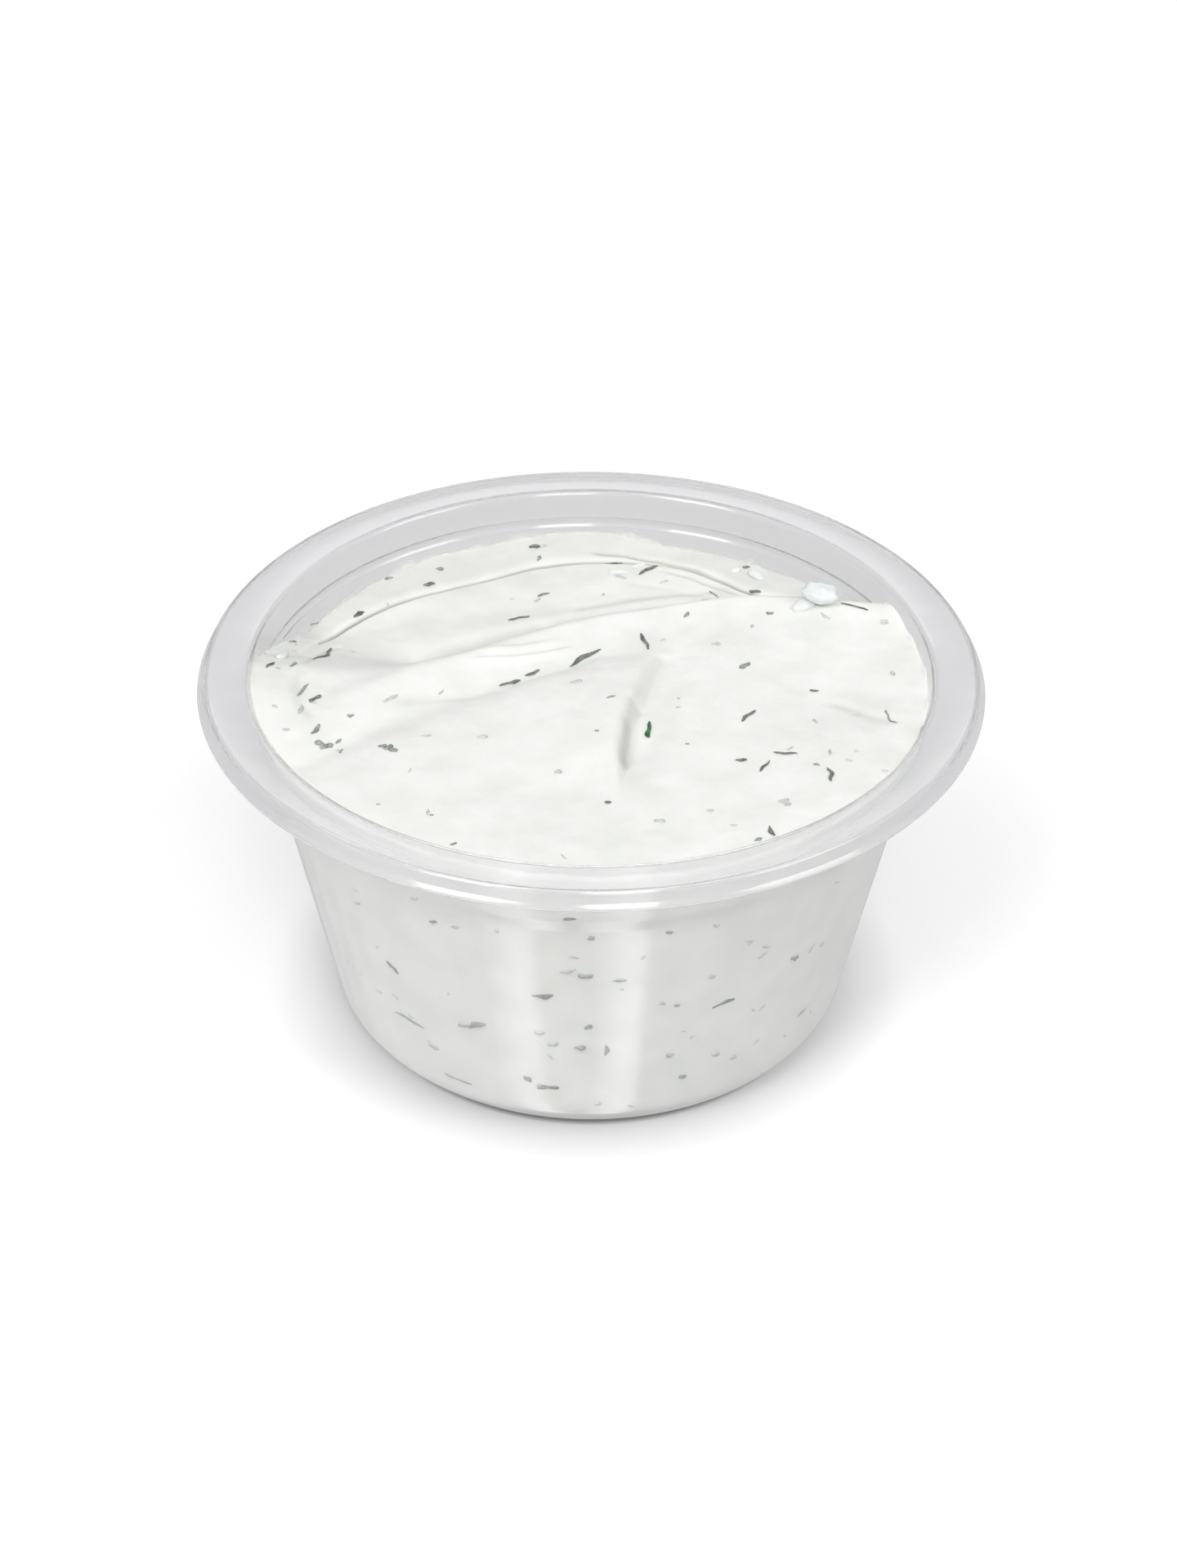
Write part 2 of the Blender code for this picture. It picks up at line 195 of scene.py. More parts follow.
# Lines drawn in the cream by the spoon: points in plan (mm), depth (a ridge if below 0), width
# and how much painted shade, with a little of the herbs' juice, darkens them
Stroke = namedtuple("Stroke", "points depth width stain")
STROKES = (
    Stroke(((-31.1, 14.2), (-32.8, 11.5), (-34.2, 7.5), (-35.0, 1.4)), 0.28, 0.5, 0.25),
    Stroke(((-35.0, 1.4), (-35.4, -1.7), (-34.7, -7.0), (-32.7, -11.3)), 0.20, 0.7, 0.10),
    Stroke(((-41.4, 5.4), (-38.6, 5.4), (-35.4, 6.0), (-33.0, 8.3)), 0.35, 0.35, 0.5),
    # These four paint shade on the floor of the hollow just behind the crest
    Stroke(((-26.0, 5.5), (-22.8, 9.6), (-17.9, 13.5), (-12.8, 16.0)), 0.25, 1.3, 0.16),
    Stroke(((-22.8, 9.6), (-17.9, 13.4), (-12.8, 16.0), (-7.7, 18.3), (-2.5, 20.2)), 0.55, 1.4, 0.36),
    Stroke(((-7.7, 18.8), (-2.5, 20.7), (2.8, 22.5), (8.0, 24.0), (14.6, 25.2)), 0.55, 1.2, 0.36),
    Stroke(((-3.6, 23.6), (0.6, 25.0), (5.4, 26.7), (11.3, 28.1), (17.7, 28.8)), 0.30, 0.7, 0.24),
    Stroke(((28.0, -4.0), (30.5, -5.1), (33.7, -8.1), (37.5, -9.4)), 0.25, 0.9, 0.05),
    Stroke(((-25.0, -5.3), (-19.9, -4.5), (-14.6, -3.6), (-10.9, -2.3)), 0.22, 1.0, 0.08),
    Stroke(((-10.9, -2.3), (-7.3, 0.3), (-2.3, 2.6), (1.6, 5.8)), 0.20, 0.9, 0.08),
    Stroke(((-15.8, 3.0), (-10.3, 3.4), (-6.4, 4.3), (-0.8, 6.3)), -0.50, 0.5, 0.0),
    Stroke(((-14.6, 4.8), (-8.4, 5.8), (-2.4, 7.8)), -0.36, 0.5, 0.0),
    # These three darken narrow creases at the back right with painted shade
    Stroke(((-2.6, 37.3), (4.4, 36.9), (8.9, 35.6), (13.8, 33.3), (18.5, 29.9)), 0.35, 0.3, 0.6),
    Stroke(((8.0, 33.6), (13.0, 31.7), (17.5, 28.8), (21.5, 25.6)), 0.30, 0.35, 0.4),
    Stroke(((3.0, 30.6), (10.0, 29.4), (15.5, 26.9), (20.0, 23.6)), 0.18, 0.6, 0.1),
    # These three paint shade along the fold's steep side
    Stroke(((8.9, 4.8), (7.9, 2.3), (7.1, -1.1), (5.9, -4.9), (4.8, -7.7)), 0.20, 1.3, 0.16),
    Stroke(((5.9, -4.9), (4.8, -7.7), (4.3, -11.0), (4.0, -14.8), (3.7, -18.4)), 0.35, 1.0, 0.26),
    Stroke(((4.5, -8.4), (4.2, -12.0), (3.9, -15.6), (3.6, -19.5)), 0.45, 0.6, 0.46),
)
# How far a stroke is felt, in its own widths, and the share of its end runs where it fades
STROKE_REACH = 3.0
STROKE_FADE = 0.6
# How much painted shade darkens the smear on the wall and the floor of the hollow
SMEAR_SHADE = 0.27
HOLLOW_SHADE = 0.10

# Grain of the surface, as pairs of pitch and rise
GRAINS = ((6.0 * MM, 0.10 * MM), (2.2 * MM, 0.045 * MM), (0.9 * MM, 0.015 * MM))
# The top's slope is taken over this distance
SLOPE_SPAN = 0.3 * MM
RAGGED_RISE = 0.45 * MM
RAGGED_WIDTH = 0.8 * MM
RAGGED_PITCH = 3.6 * MM
RAGGED_FINE = 0.25
RAGGED_FINER = 3.7

# The thin film of cream on the wall above the edge of the top, round the back
FILM_START = math.radians(24.0)
FILM_END = math.radians(184.0)
FILM_SEGMENTS = 360
FILM_ROWS = 6
FILM_RISE = 1.7 * MM
FILM_LEAST = 0.3
FILM_PITCH = 3.4 * MM
FILM_OFF_WALL = 0.03 * MM

# Grated cucumber: where each bit shows in the photograph, its length and width in pixels, its angle
# and how far it stands out as a share of its width
Bit = namedtuple("Bit", "x y length width angle rise")
BITS = (
    Bit(1004, 737, 46, 32, -8, 0.42),
    Bit(984, 741, 30, 18, 20, 0.05),
    Bit(925, 704, 22, 12, -30, 0.10),
    Bit(900, 698, 14, 9, 10, 0.0),
    Bit(757, 699, 28, 10, 0, -0.1),
    Bit(782, 692, 18, 9, 12, -0.1),
    Bit(345, 804, 16, 12, 30, 0.1),
)
BIT_UNEVEN = 0.22
BIT_PITCH = 0.9 * MM
BIT_LONGEST = 2.5
BIT_FLAT = 0.7

# Flecks of dill on the top: centre in pixels, length and width in pixels, angle in degrees
# anticlockwise from the right, and how far the cream covers them, 0 bare to 2 deep
Fleck = namedtuple("Fleck", "x y length width angle cover")
TOP_FLECKS = (
    (330, 814, 12, 7, 30, 0), (359, 813, 9, 6, 40, 1), (383, 764, 12, 8, 20, 0),
    (358, 785, 9, 7, 0, 1), (398, 801, 24, 6, 28, 0), (439, 752, 14, 6, 25, 0),
    (475, 707, 12, 5, 5, 1), (525, 715, 14, 6, 10, 0), (538, 696, 9, 6, 0, 1),
    (654, 669, 14, 6, 0, 0), (659, 683, 7, 6, 60, 1), (665, 727, 16, 6, 15, 1),
    (657, 734, 9, 6, 30, 2), (635, 757, 26, 5, 11, 0), (624, 836, 26, 7, 15, 0),
    (651, 823, 18, 6, 25, 0), (716, 805, 42, 5, 33, 0), (705, 834, 16, 9, 10, 2),
    (371, 844, 20, 6, 45, 1), (386, 855, 15, 8, 30, 0), (367, 868, 12, 8, 70, 2),
    (429, 875, 9, 7, 10, 1), (478, 854, 20, 7, 25, 2), (386, 892, 15, 7, 50, 1),
    (397, 911, 18, 14, 20, 1), (413, 918, 8, 6, 0, 2), (474, 915, 18, 13, 15, 1),
    (522, 900, 12, 8, 0, 2), (590, 901, 14, 9, 10, 2), (683, 944, 10, 8, 0, 2),
    (463, 984, 5, 4, 0, 1), (528, 997, 5, 4, 0, 1), (350, 892, 9, 7, 0, 2),
    (749, 689, 26, 4, 2, 0), (794, 698, 26, 6, 24, 0), (760, 706, 14, 8, -20, 2),
    (913, 694, 9, 6, 0, 0), (924, 724, 14, 6, -5, 0), (874, 727, 14, 5, -35, 1),
    (942, 750, 9, 7, 0, 1), (1045, 743, 34, 5, -15, 0), (1010, 753, 14, 5, -30, 2),
    (1082, 762, 10, 8, 0, 2), (789, 785, 22, 5, -58, 0), (911, 814, 14, 9, 30, 1),
    (876, 788, 12, 7, 0, 2), (996, 845, 11, 5, 0, 0), (916, 876, 22, 6, 36, 0),
    (1091, 879, 16, 5, -45, 1), (907, 930, 14, 7, 0, 0), (961, 921, 30, 4, -4, 0),
    (935, 937, 18, 5, 48, 0), (1015, 948, 17, 5, -75, 0), (1082, 943, 9, 6, 0, 2),
    (744, 982, 8, 7, 0, 0), (960, 982, 15, 11, 10, 2), (944, 1017, 13, 6, -60, 0),
    (928, 1027, 10, 6, 20, 1), (807, 1004, 14, 9, 0, 2), (1129, 899, 34, 4, 75, 0),
    (1082, 759, 9, 5, 0, 2), (730, 894, 5, 5, 0, 1), (841, 910, 5, 4, 0, 1),
    (830, 865, 6, 5, 0, 2), (869, 991, 9, 5, 0, 2), (898, 1009, 9, 5, 0, 2),
)
VIVID_FLECK = Fleck(794, 893, 19, 9.8, 86, 0)

# Flecks behind the plastic of the front wall, in the same terms
SIDE_FLECKS = (
    (482, 1182, 22, 6, -48, 0), (503, 1246, 40, 6, -28, 1), (532, 1278, 14, 7, -20, 2),
    (562, 1318, 36, 6, -25, 1), (646, 1318, 12, 7, -40, 0), (671, 1329, 26, 8, 3, 0),
    (664, 1216, 26, 7, 0, 0), (570, 1252, 16, 8, 5, 2), (585, 1253, 22, 8, 8, 1),
    (531, 1126, 9, 6, 0, 1), (558, 1132, 9, 6, 0, 2), (439, 1102, 10, 6, -20, 2),
    (508, 1096, 10, 6, 0, 2), (697, 1123, 16, 5, 0, 0), (723, 1146, 9, 6, 20, 1),
    (695, 1186, 20, 7, 10, 2), (716, 1192, 18, 9, 0, 1), (720, 1255, 10, 7, 30, 1),
    (710, 1280, 14, 7, 0, 1), (661, 1261, 12, 7, 0, 2), (677, 1275, 12, 7, 20, 2),
    (818, 1139, 9, 6, 0, 1), (876, 1130, 9, 6, 0, 2), (936, 1156, 9, 6, 0, 2),
    (970, 1170, 9, 7, 0, 1), (991, 1158, 14, 6, 60, 2), (758, 1198, 18, 5, 6, 1),
    (828, 1228, 7, 6, 0, 1), (884, 1226, 30, 5, 25, 0), (978, 1237, 16, 5, 45, 1),
    (741, 1283, 13, 5, 80, 1), (819, 1288, 10, 7, 0, 2), (834, 1315, 9, 6, 0, 1),
    (875, 1287, 10, 7, 0, 2), (772, 1350, 9, 6, 0, 2), (731, 1348, 9, 6, 0, 2),
    (870, 1193, 9, 6, 0, 2),
)

# Flecks by rule: the fine specks on the top, and those round the sides and back of the wall
SPECK_SEED = 11
TOP_SPECKS = 36
FRONT_SPECKS = 34
BACK_SPECKS = 150
BACK_START = math.radians(-14.0)
BACK_END = math.radians(194.0)
SPECK_LENGTH = (0.5 * MM, 1.3 * MM)
WALL_LENGTH = (0.7 * MM, 3.0 * MM)
SPECK_WIDTH = (0.25 * MM, 0.5 * MM)
SPECK_BOW = 0.15
SPECK_REACH = 0.95
SPECK_HEADING = 1.1
WALL_SPECK_LOW = 3.0 * MM
WALL_SPECK_HIGH = 37.0 * MM
LEAF_STATIONS = 7
LEAF_SIDES = 6
LEAF_FLAT = 0.45
LEAF_TIP = 0.15
LEAF_END = 0.02
LEAF_BOW = 0.08
LEAF_KINK = 0.10
LEAF_UNEVEN = 0.9
LEAF_PITCH = 2.5 * MM
LEAF_WAVES = 2.5
LEAF_SLIM = 0.82
LEAF_BROAD = 1.0
WALL_LIFT = 0.05 * MM
# A fleck as wide as this, in pixels, is a clump of leaves side by side, shifted by shares of its
# length and width, shorter and narrower than it and leaning by up to so many degrees
WIDE_FLECK = 10
CLUMP_SHIFTS = (-0.3, 0.0, 0.3)
CLUMP_JITTER = 0.1
CLUMP_SPREAD = 0.3
CLUMP_LENGTH = 0.6
CLUMP_WIDTHS = (0.65, 0.9)
CLUMP_LEAN = 22.0
# How far the leaves lie above the cream, by how far it covers them
LEAF_LIFTS = (0.10 * MM, 0.03 * MM, 0.0)

# Surfaces: what the main shader's inputs are set to, with colours in linear light
PLASTIC_SURFACE = {
    "Base Color": (0.90, 0.90, 0.903, 1.0),
    "Transmission Weight": 0.87,
    "IOR": 1.5,
    "Roughness": 0.11,
}
PLASTIC_SHADE = (0.87, 0.87, 0.87, 1.0)
CREAM_SURFACE = {
    "Specular IOR Level": 0.4,
    "Subsurface Weight": 0.4,
    "Subsurface Radius": (1.0, 0.9, 0.75),
    "Subsurface Scale": 0.7 * MM,
}
# The colour that painted shade, with a little juice, mixes into the cream
JUICE_AND_SHADE_COLOR = (0.34, 0.33, 0.27, 1.0)
FILM_SURFACE = {"Base Color": (0.90, 0.90, 0.89, 1.0), "Roughness": 0.4}
FLESH_SURFACE = {
    "Roughness": 0.42,
    "Subsurface Weight": 0.3,
    "Subsurface Radius": (0.8, 1.0, 1.0),
    "Subsurface Scale": 0.6 * MM,
}
DILL_SURFACE = {"Roughness": 0.5}

# Noise over them, each with its pitch and detail. It makes a colour wander between two,
CREAM_TINT = (5.0 * MM, 4.0, (0.825, 0.835, 0.80), (0.89, 0.895, 0.87))
FLESH_TINT = (0.9 * MM, 3.0, (0.77, 0.81, 0.81), (0.83, 0.855, 0.85))
DILL_NOISE = (0.8 * MM, 3.0)
DILL_TINTS = (
    ("dill_bare", (0.09, 0.11, 0.085), (0.25, 0.28, 0.23)),
    ("dill_thinly_covered", (0.22, 0.26, 0.22), (0.42, 0.46, 0.42)),
    ("dill_covered", (0.50, 0.53, 0.49), (0.68, 0.71, 0.67)),
    ("dill_vivid", (0.012, 0.08, 0.018), (0.04, 0.19, 0.055)),
)
# or a value wander between two,
CREAM_ROUGHNESS = (2.5 * MM, 3.0, 0.34, 0.5)
FILM_COVER = (3.0 * MM, 2.0, 0.35, 0.95)
# or lifts the surface by a distance, with a strength
PLASTIC_FLOW = (6.0 * MM, 2.0, 0.05 * MM, 0.5)
CREAM_SOFT = (1.6 * MM, 3.0, 0.10 * MM, 0.5)
CREAM_FINE = (0.4 * MM, 2.0, 0.03 * MM, 0.4)
FLESH_FIBRES = (0.5 * MM, 2.0, 0.05 * MM, 0.5)
DILL_VEINS = (0.25 * MM, 2.0, 0.05 * MM, 0.5)
# Noise lies nearly all between these values, and a ramp of two colours runs between the second two
NOISE_LOW, NOISE_HIGH = 0.3, 0.7
RAMP_LOW, RAMP_HIGH = 0.35, 0.65

# Lamps: azimuth from the camera's side, elevation, width and height, all in degrees, and radiance
LAMP_DISTANCE = 3.0
Lamp = namedtuple("Lamp", "name azimuth elevation wide tall radiance")
LAMPS = (
    Lamp("window_left", -40.0, 47.0, 19.0, 30.0, 6.1),
    Lamp("window_front", 10.0, 46.0, 16.0, 30.0, 5.2),
    Lamp("fill_right", 66.0, 40.0, 26.0, 26.0, 3.5),
    Lamp("overhead", -150.0, 78.0, 40.0, 40.0, 0.5),
)
# Lamps that only gloss sees: a pale wall behind, and strips where a shiny table would mirror the
# two windows. Each strip has the azimuth of its right edge, and the widths and radiances of its layers
BACK_GLOW = Lamp("back_glow", 180.0, 42.0, 50.0, 15.0, 1.7)
STRIP_ELEVATION = -56.0
STRIP_TALL = 46.0
STRIPS = (
    (-30.5, ((64.0, 0.155), (76.0, 0.155), (88.0, 0.155), (100.0, 0.155))),
    (-30.5, ((13.0, 0.62), (9.0, 0.62), (5.0, 0.62))),
    (22.5, ((13.0, 0.62), (11.0, 0.62), (8.0, 0.62), (5.0, 0.62))),
)
FLOOR_SIZE = 12.0
# It gives off a little light of its own
FLOOR_SURFACE = {
    "Emission Color": (1.0, 1.0, 1.0, 1.0),
    "Emission Strength": 0.12,
    "Roughness": 1.0,
    "Specular IOR Level": 0.0,
}
# Its colour where it is seen through the plastic, and the share of that which is a painted even glow
FLOOR_THROUGH = (0.65, 0.65, 0.665, 1.0)
FLOOR_GLOW_SHARE = 0.5
# A painted contact shadow where the foot stands on the floor, darkest in front: radii (mm) and shades
CONTACT_SHADOW = ((0.0, 0.12), (28.9, 0.12), (29.7, 0.60), (33.5, 0.74), (41.0, 1.0))
CONTACT_REACH = 50.0
CONTACT_CENTER = Vector((0.0, -1.2, 0.0)) * MM
# The studio's greys by height, from below to overhead, and its strength on matt surfaces
WORLD_GREYS = ((0.45, (0.62, 0.62, 0.63)), (0.55, (0.55, 0.55, 0.56)), (0.9, (0.50, 0.50, 0.50)))
WORLD_ON_MATT = 0.75


def smooth_step(value):
    value = min(max(value, 0.0), 1.0)
    return value * value * (3.0 - 2.0 * value)


def bell(value):
    return math.exp(-value * value)


def outward(bearing):
    """The level direction at a bearing from +X."""
    return Vector((math.cos(bearing), math.sin(bearing), 0.0))


def link_mesh(name, verts, faces):
    mesh = bpy.data.meshes.new(name)
    mesh.from_pydata(verts, [], faces)
    mesh.shade_smooth()
    obj = bpy.data.objects.new(name, mesh)
    bpy.context.scene.collection.objects.link(obj)
    return obj


def skin_rings(name, rings, first_pole, last_pole):
    """A closed mesh over a stack of equal rings, with a point at each end."""
    count = len(rings[0])
    verts = [point for ring in rings for point in ring] + [first_pole, last_pole]
    first = len(verts) - 2
    faces = []
    for j in range(count):
        after = (j + 1) % count
        faces.append((first, j, after))
        faces.append((first + 1, first - count + after, first - count + j))
        for base in range(0, first - count, count):
            faces.append((base + after, base + j, base + count + j, base + count + after))
    return link_mesh(name, verts, faces)


# The camera

def camera_matrix():
    ahead = Vector((0.0, math.cos(CAMERA_PITCH), -math.sin(CAMERA_PITCH)))
    right = Vector((1.0, 0.0, 0.0))
    up = right.cross(ahead)
    turn = Matrix((right, up, -ahead)).transposed() @ Matrix.Rotation(CAMERA_ROLL, 3, "Z")
    return Matrix.Translation(CAMERA_PLACE) @ turn.to_4x4()


def add_camera():
    data = bpy.data.cameras.new("camera")
    data.sensor_fit = "VERTICAL"
    data.sensor_height = SENSOR_HEIGHT
    data.lens = FOCAL_PIXELS / PHOTO_HEIGHT * SENSOR_HEIGHT
    data.clip_start = CLIP_START
    camera = bpy.data.objects.new("camera", data)
    camera.matrix_world = camera_matrix()
    bpy.context.scene.collection.objects.link(camera)
    bpy.context.scene.camera = camera


def sight_line(px, py):
    """The direction of the camera's line of sight through a pixel."""
    x = (px - 0.5 * PHOTO_WIDTH) / FOCAL_PIXELS
    y = (0.5 * PHOTO_HEIGHT - py) / FOCAL_PIXELS
    return (camera_matrix().to_3x3() @ Vector((x, y, -1.0))).normalized()


def first_hit(px, py, inside):
    """Where the line of sight through a pixel first gets inside a body."""
    ahead = sight_line(px, py)
    far = (POT_HEIGHT - CAMERA_PLACE.z) / ahead.z
    near = far - 2.0 * RIM_RADIUS
    while not inside(CAMERA_PLACE + ahead * near):
        near += SIGHT_STEP
        if near > far + 4.0 * RIM_RADIUS:
            return None
    low, high = near - SIGHT_STEP, near
    for _ in range(SIGHT_HALVINGS):
        middle = 0.5 * (low + high)
        if inside(CAMERA_PLACE + ahead * middle):
            high = middle
        else:
            low = middle
    return CAMERA_PLACE + ahead * high


def mark_ends(mark, inside):
    """Where the two ends of a mark in the photograph lie on a body."""
    angle = math.radians(mark.angle)
    dx = 0.5 * mark.length * math.cos(angle)
    dy = -0.5 * mark.length * math.sin(angle)
    start = first_hit(mark.x - dx, mark.y - dy, inside)
    end = first_hit(mark.x + dx, mark.y + dy, inside)
    return start, end


def real_width(mark, place):
    """The width of a mark in the photograph, in metres, at a place."""
    return mark.width * (place - CAMERA_PLACE).length / FOCAL_PIXELS


# The pot

def inner_radius(z):
    """The radius of the pot's inner wall at a height, above the heel."""
    step = smooth_step((z - SHOULDER_LOW) / (SHOULDER_HIGH - SHOULDER_LOW))
    top = POT_HEIGHT - MOUTH_FILLET
    return MOUTH_RADIUS - (top - z) * math.tan(WALL_TAPER) - SHOULDER_STEP * (1.0 - step)


def rounded_corner(before, corner, after, radius):
    """The points of the arc that rounds one corner of a path."""
    back = (before - corner).normalized()
    on = (after - corner).normalized()
    half = 0.5 * back.angle(on)
    center = corner + (back + on).normalized() * (radius / math.sin(half))
    start = corner + back * (radius / math.tan(half)) - center
    sweep = start.angle_signed(corner + on * (radius / math.tan(half)) - center)
    steps = max(2, math.ceil(abs(sweep) / ARC_STEP))
    turns = [Matrix.Rotation(-sweep * i / steps, 2) for i in range(steps + 1)]
    return [center + turn @ start for turn in turns]


def rounded_path(corners):
    """A path through corners given as (point, radius), with long runs cut into short ones."""
    path = [corners[0][0]]
    for (before, _), (corner, radius), (after, _) in zip(corners, corners[1:], corners[2:]):
        arc = rounded_corner(before, corner, after, radius)
        start = path[-1]
        cuts = max(1, math.ceil((arc[0] - start).length / PATH_STEP))
        path += [start.lerp(arc[0], i / cuts) for i in range(1, cuts)]
        path += arc
    path.append(corners[-1][0])
    return path


def heel_corner():
    """Where the lines of the floor and of the wall's inner face would meet."""
    return Vector((inner_radius(SHEET), SHEET))


def top_face_path():
    """The face that holds the food, from the axis up the wall and over the flange to the lip."""
    heel = heel_corner()
    foot_inner = heel.x - FOOT_WIDTH - HEEL_RADIUS * math.tan(0.5 * (0.5 * math.pi - WALL_TAPER))
    lip_end = Vector((RIM_RADIUS - 0.5 * SHEET, LIP_BOTTOM + 0.5 * SHEET))
    lip_up = Vector((math.sin(LIP_SLOPE), math.cos(LIP_SLOPE)))
    mouth_z = POT_HEIGHT - FLAT_DISH
    corners = [
        (Vector((0.0, BASE_LIFT + SHEET)), 0.0),
        (Vector((foot_inner - LIFT_RAMP, BASE_LIFT + SHEET)), RAMP_ROUND),
        (Vector((foot_inner, SHEET)), RAMP_ROUND),
        (heel, HEEL_RADIUS),
        (Vector((inner_radius(SHOULDER_LOW), SHOULDER_LOW)), SHOULDER_ROUND),
        (Vector((inner_radius(SHOULDER_HIGH), SHOULDER_HIGH)), SHOULDER_ROUND),
        (Vector((inner_radius(BEAD_LEVEL - BEAD_HALF), BEAD_LEVEL - BEAD_HALF)), BEAD_ROUND),
        (Vector((inner_radius(BEAD_LEVEL) + BEAD_RISE, BEAD_LEVEL)), BEAD_ROUND),
        (Vector((inner_radius(BEAD_LEVEL + BEAD_HALF), BEAD_LEVEL + BEAD_HALF)), BEAD_ROUND),
        (Vector((inner_radius(mouth_z), mouth_z)), MOUTH_FILLET),
        (Vector((SKIRT_RADIUS, POT_HEIGHT)), SKIRT_ROUND),
        (Vector((LIP_INNER, LIP_BEND)), SKIRT_ROUND),
        (lip_end + lip_up * 0.5 * SHEET, 0.0),
    ]
    return rounded_path(corners)


def offset_path(path, distance):
    """A path moved square to itself, to its right."""
    moved = []
    for i, point in enumerate(path):
        along = (path[min(i + 1, len(path) - 1)] - path[max(i - 1, 0)]).normalized()
        moved.append(point + Vector((along.y, -along.x)) * distance)
    return moved


def pot_section():
    """The closed section of the sheet: up its top face, round the lip and back underneath."""
    top = top_face_path()
    under = offset_path(top, SHEET)
    under[0] = Vector((0.0, BASE_LIFT))
    center = 0.5 * (top[-1] + under[-1])
    arm = top[-1] - center
    turns = [math.pi * i / LIP_STEPS for i in range(1, LIP_STEPS)]
    lip = [center + Matrix.Rotation(turn, 2) @ arm for turn in turns]
    if lip[len(lip) // 2].x < center.x:
        lip = [center + Matrix.Rotation(-turn, 2) @ arm for turn in turns]
    return top + lip + under[::-1]


def ripple(bearing, z):
    """The slight unevenness of the formed wall, the same on both faces of the sheet."""
    return RIPPLE * noise.noise((outward(bearing) * RIM_RADIUS + UP * z) / RIPPLE_PITCH)


def build_pot():
    section = pot_section()
    rings = []
    for point in section[1:-1]:
        ring = []
        for j in range(POT_SEGMENTS):
            bearing = TURN * j / POT_SEGMENTS
            radius = point.x + ripple(bearing, point.y)
            ring.append((radius * math.cos(bearing), radius * math.sin(bearing), point.y))
        rings.append(ring)
    ends = (0.0, 0.0, section[0].y), (0.0, 0.0, section[-1].y)
    pot = skin_rings("clear_pot", rings, *ends)
    pot.data.materials.append(plastic_material())
    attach(pot, "root")
    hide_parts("pot")


# The tzatziki

def crest_line(x):
    """Where the crest of the front mass runs: its y at an x."""
    reach = (CREST_TIP.x - x) / CREST_REACH
    return CREST_TIP.y - CREST_FALL * reach * reach


def slope_width(x):
    return SLOPE_LONG + (SLOPE_SHORT - SLOPE_LONG) * smooth_step((x - SLOPE_START) / SLOPE_REACH)


def hollow_share(bearing):
    """1 where the scooped hollow is at its full depth, 0 where the front mass meets the wall."""
    right = smooth_step((bearing - HOLLOW_RIGHT) / RIGHT_BLEND)
    left = smooth_step((HOLLOW_LEFT - bearing) / LEFT_BLEND)
    return right * left


def mound_height(mound, x, y):
    return mound.rise * bell(math.hypot(x - mound.x, y - mound.y) / mound.width)


def fold_relief(x, y):
    """The spoon's fold: a soft rise on its left that drops steeply along its line."""
    along = (FOLD_TOP.y - y) / (FOLD_TOP.y - FOLD_TOE.y)
    bend = math.sqrt(max(along, 0.0))
    across = x - FOLD_TOP.x - (FOLD_TOE.x - FOLD_TOP.x) * bend
    strength = smooth_step((along - FOLD_START) / (FOLD_FULL - FOLD_START))
    strength *= smooth_step((FOLD_END - along) / (FOLD_END - FOLD_FADE))
    if across < 0.0:
        return 0.5 * strength * FOLD_DEPTH * bell(across / FOLD_SHOULDER)
    width = FOLD_WIDTH_TOP + (FOLD_WIDTH_TOE - FOLD_WIDTH_TOP) * smooth_step(FOLD_NARROWING * along)
    drop = smooth_step(across / width)
    back = smooth_step((across - width) / FOLD_FLOOR)
    return strength * FOLD_DEPTH * (0.5 - drop + 0.5 * back)


def front_height(x, y):
    """The front mass: long low waves left by the spoon, with a crisp ridge behind them."""
    behind = y - crest_line(x)
    ridge = RIDGE_RISE * bell(behind / RIDGE_WIDTH) * smooth_step((x - RIDGE_LEFT) / RIDGE_FADE)
    trough = -TROUGH_CUT * bell((behind + TROUGH_PLACE) / TROUGH_WIDTH)
    trough *= smooth_step((TROUGH_END - x) / TROUGH_FADE)
    wave = WAVE_RISE * math.sin(x / WAVE_LENGTH_X + WAVE_PHASE_X)
    wave *= math.cos(y / WAVE_LENGTH_Y + WAVE_PHASE_Y)
    mounds = sum(mound_height(mound, x, y) for mound in (RIGHT_DISH, LOW_DISH, LEFT_RISE))
    return FRONT_LEVEL + ridge + trough + wave + mounds + fold_relief(x, y)


def crease_radius(bearing):
    """The radius of the crease at a bearing, on a smooth curve through its points."""
    turn = math.degrees(bearing) % 360.0
    if not CREASE[0][0] < turn < CREASE[-1][0]:
        return CREASE[-1][1]
    i = max(k for k in range(len(CREASE) - 1) if CREASE[k][0] <= turn)
    share = (turn - CREASE[i][0]) / (CREASE[i + 1][0] - CREASE[i][0])
    radii = [CREASE[min(max(k, 0), len(CREASE) - 1)][1] for k in range(i - 1, i + 3)]
    pull = (radii[3] - radii[0] + 3.0 * (radii[1] - radii[2])) * share
    pull = (pull + 2.0 * radii[0] - 5.0 * radii[1] + 4.0 * radii[2] - radii[3]) * share
    return radii[1] + 0.5 * share * (radii[2] - radii[0] + pull)


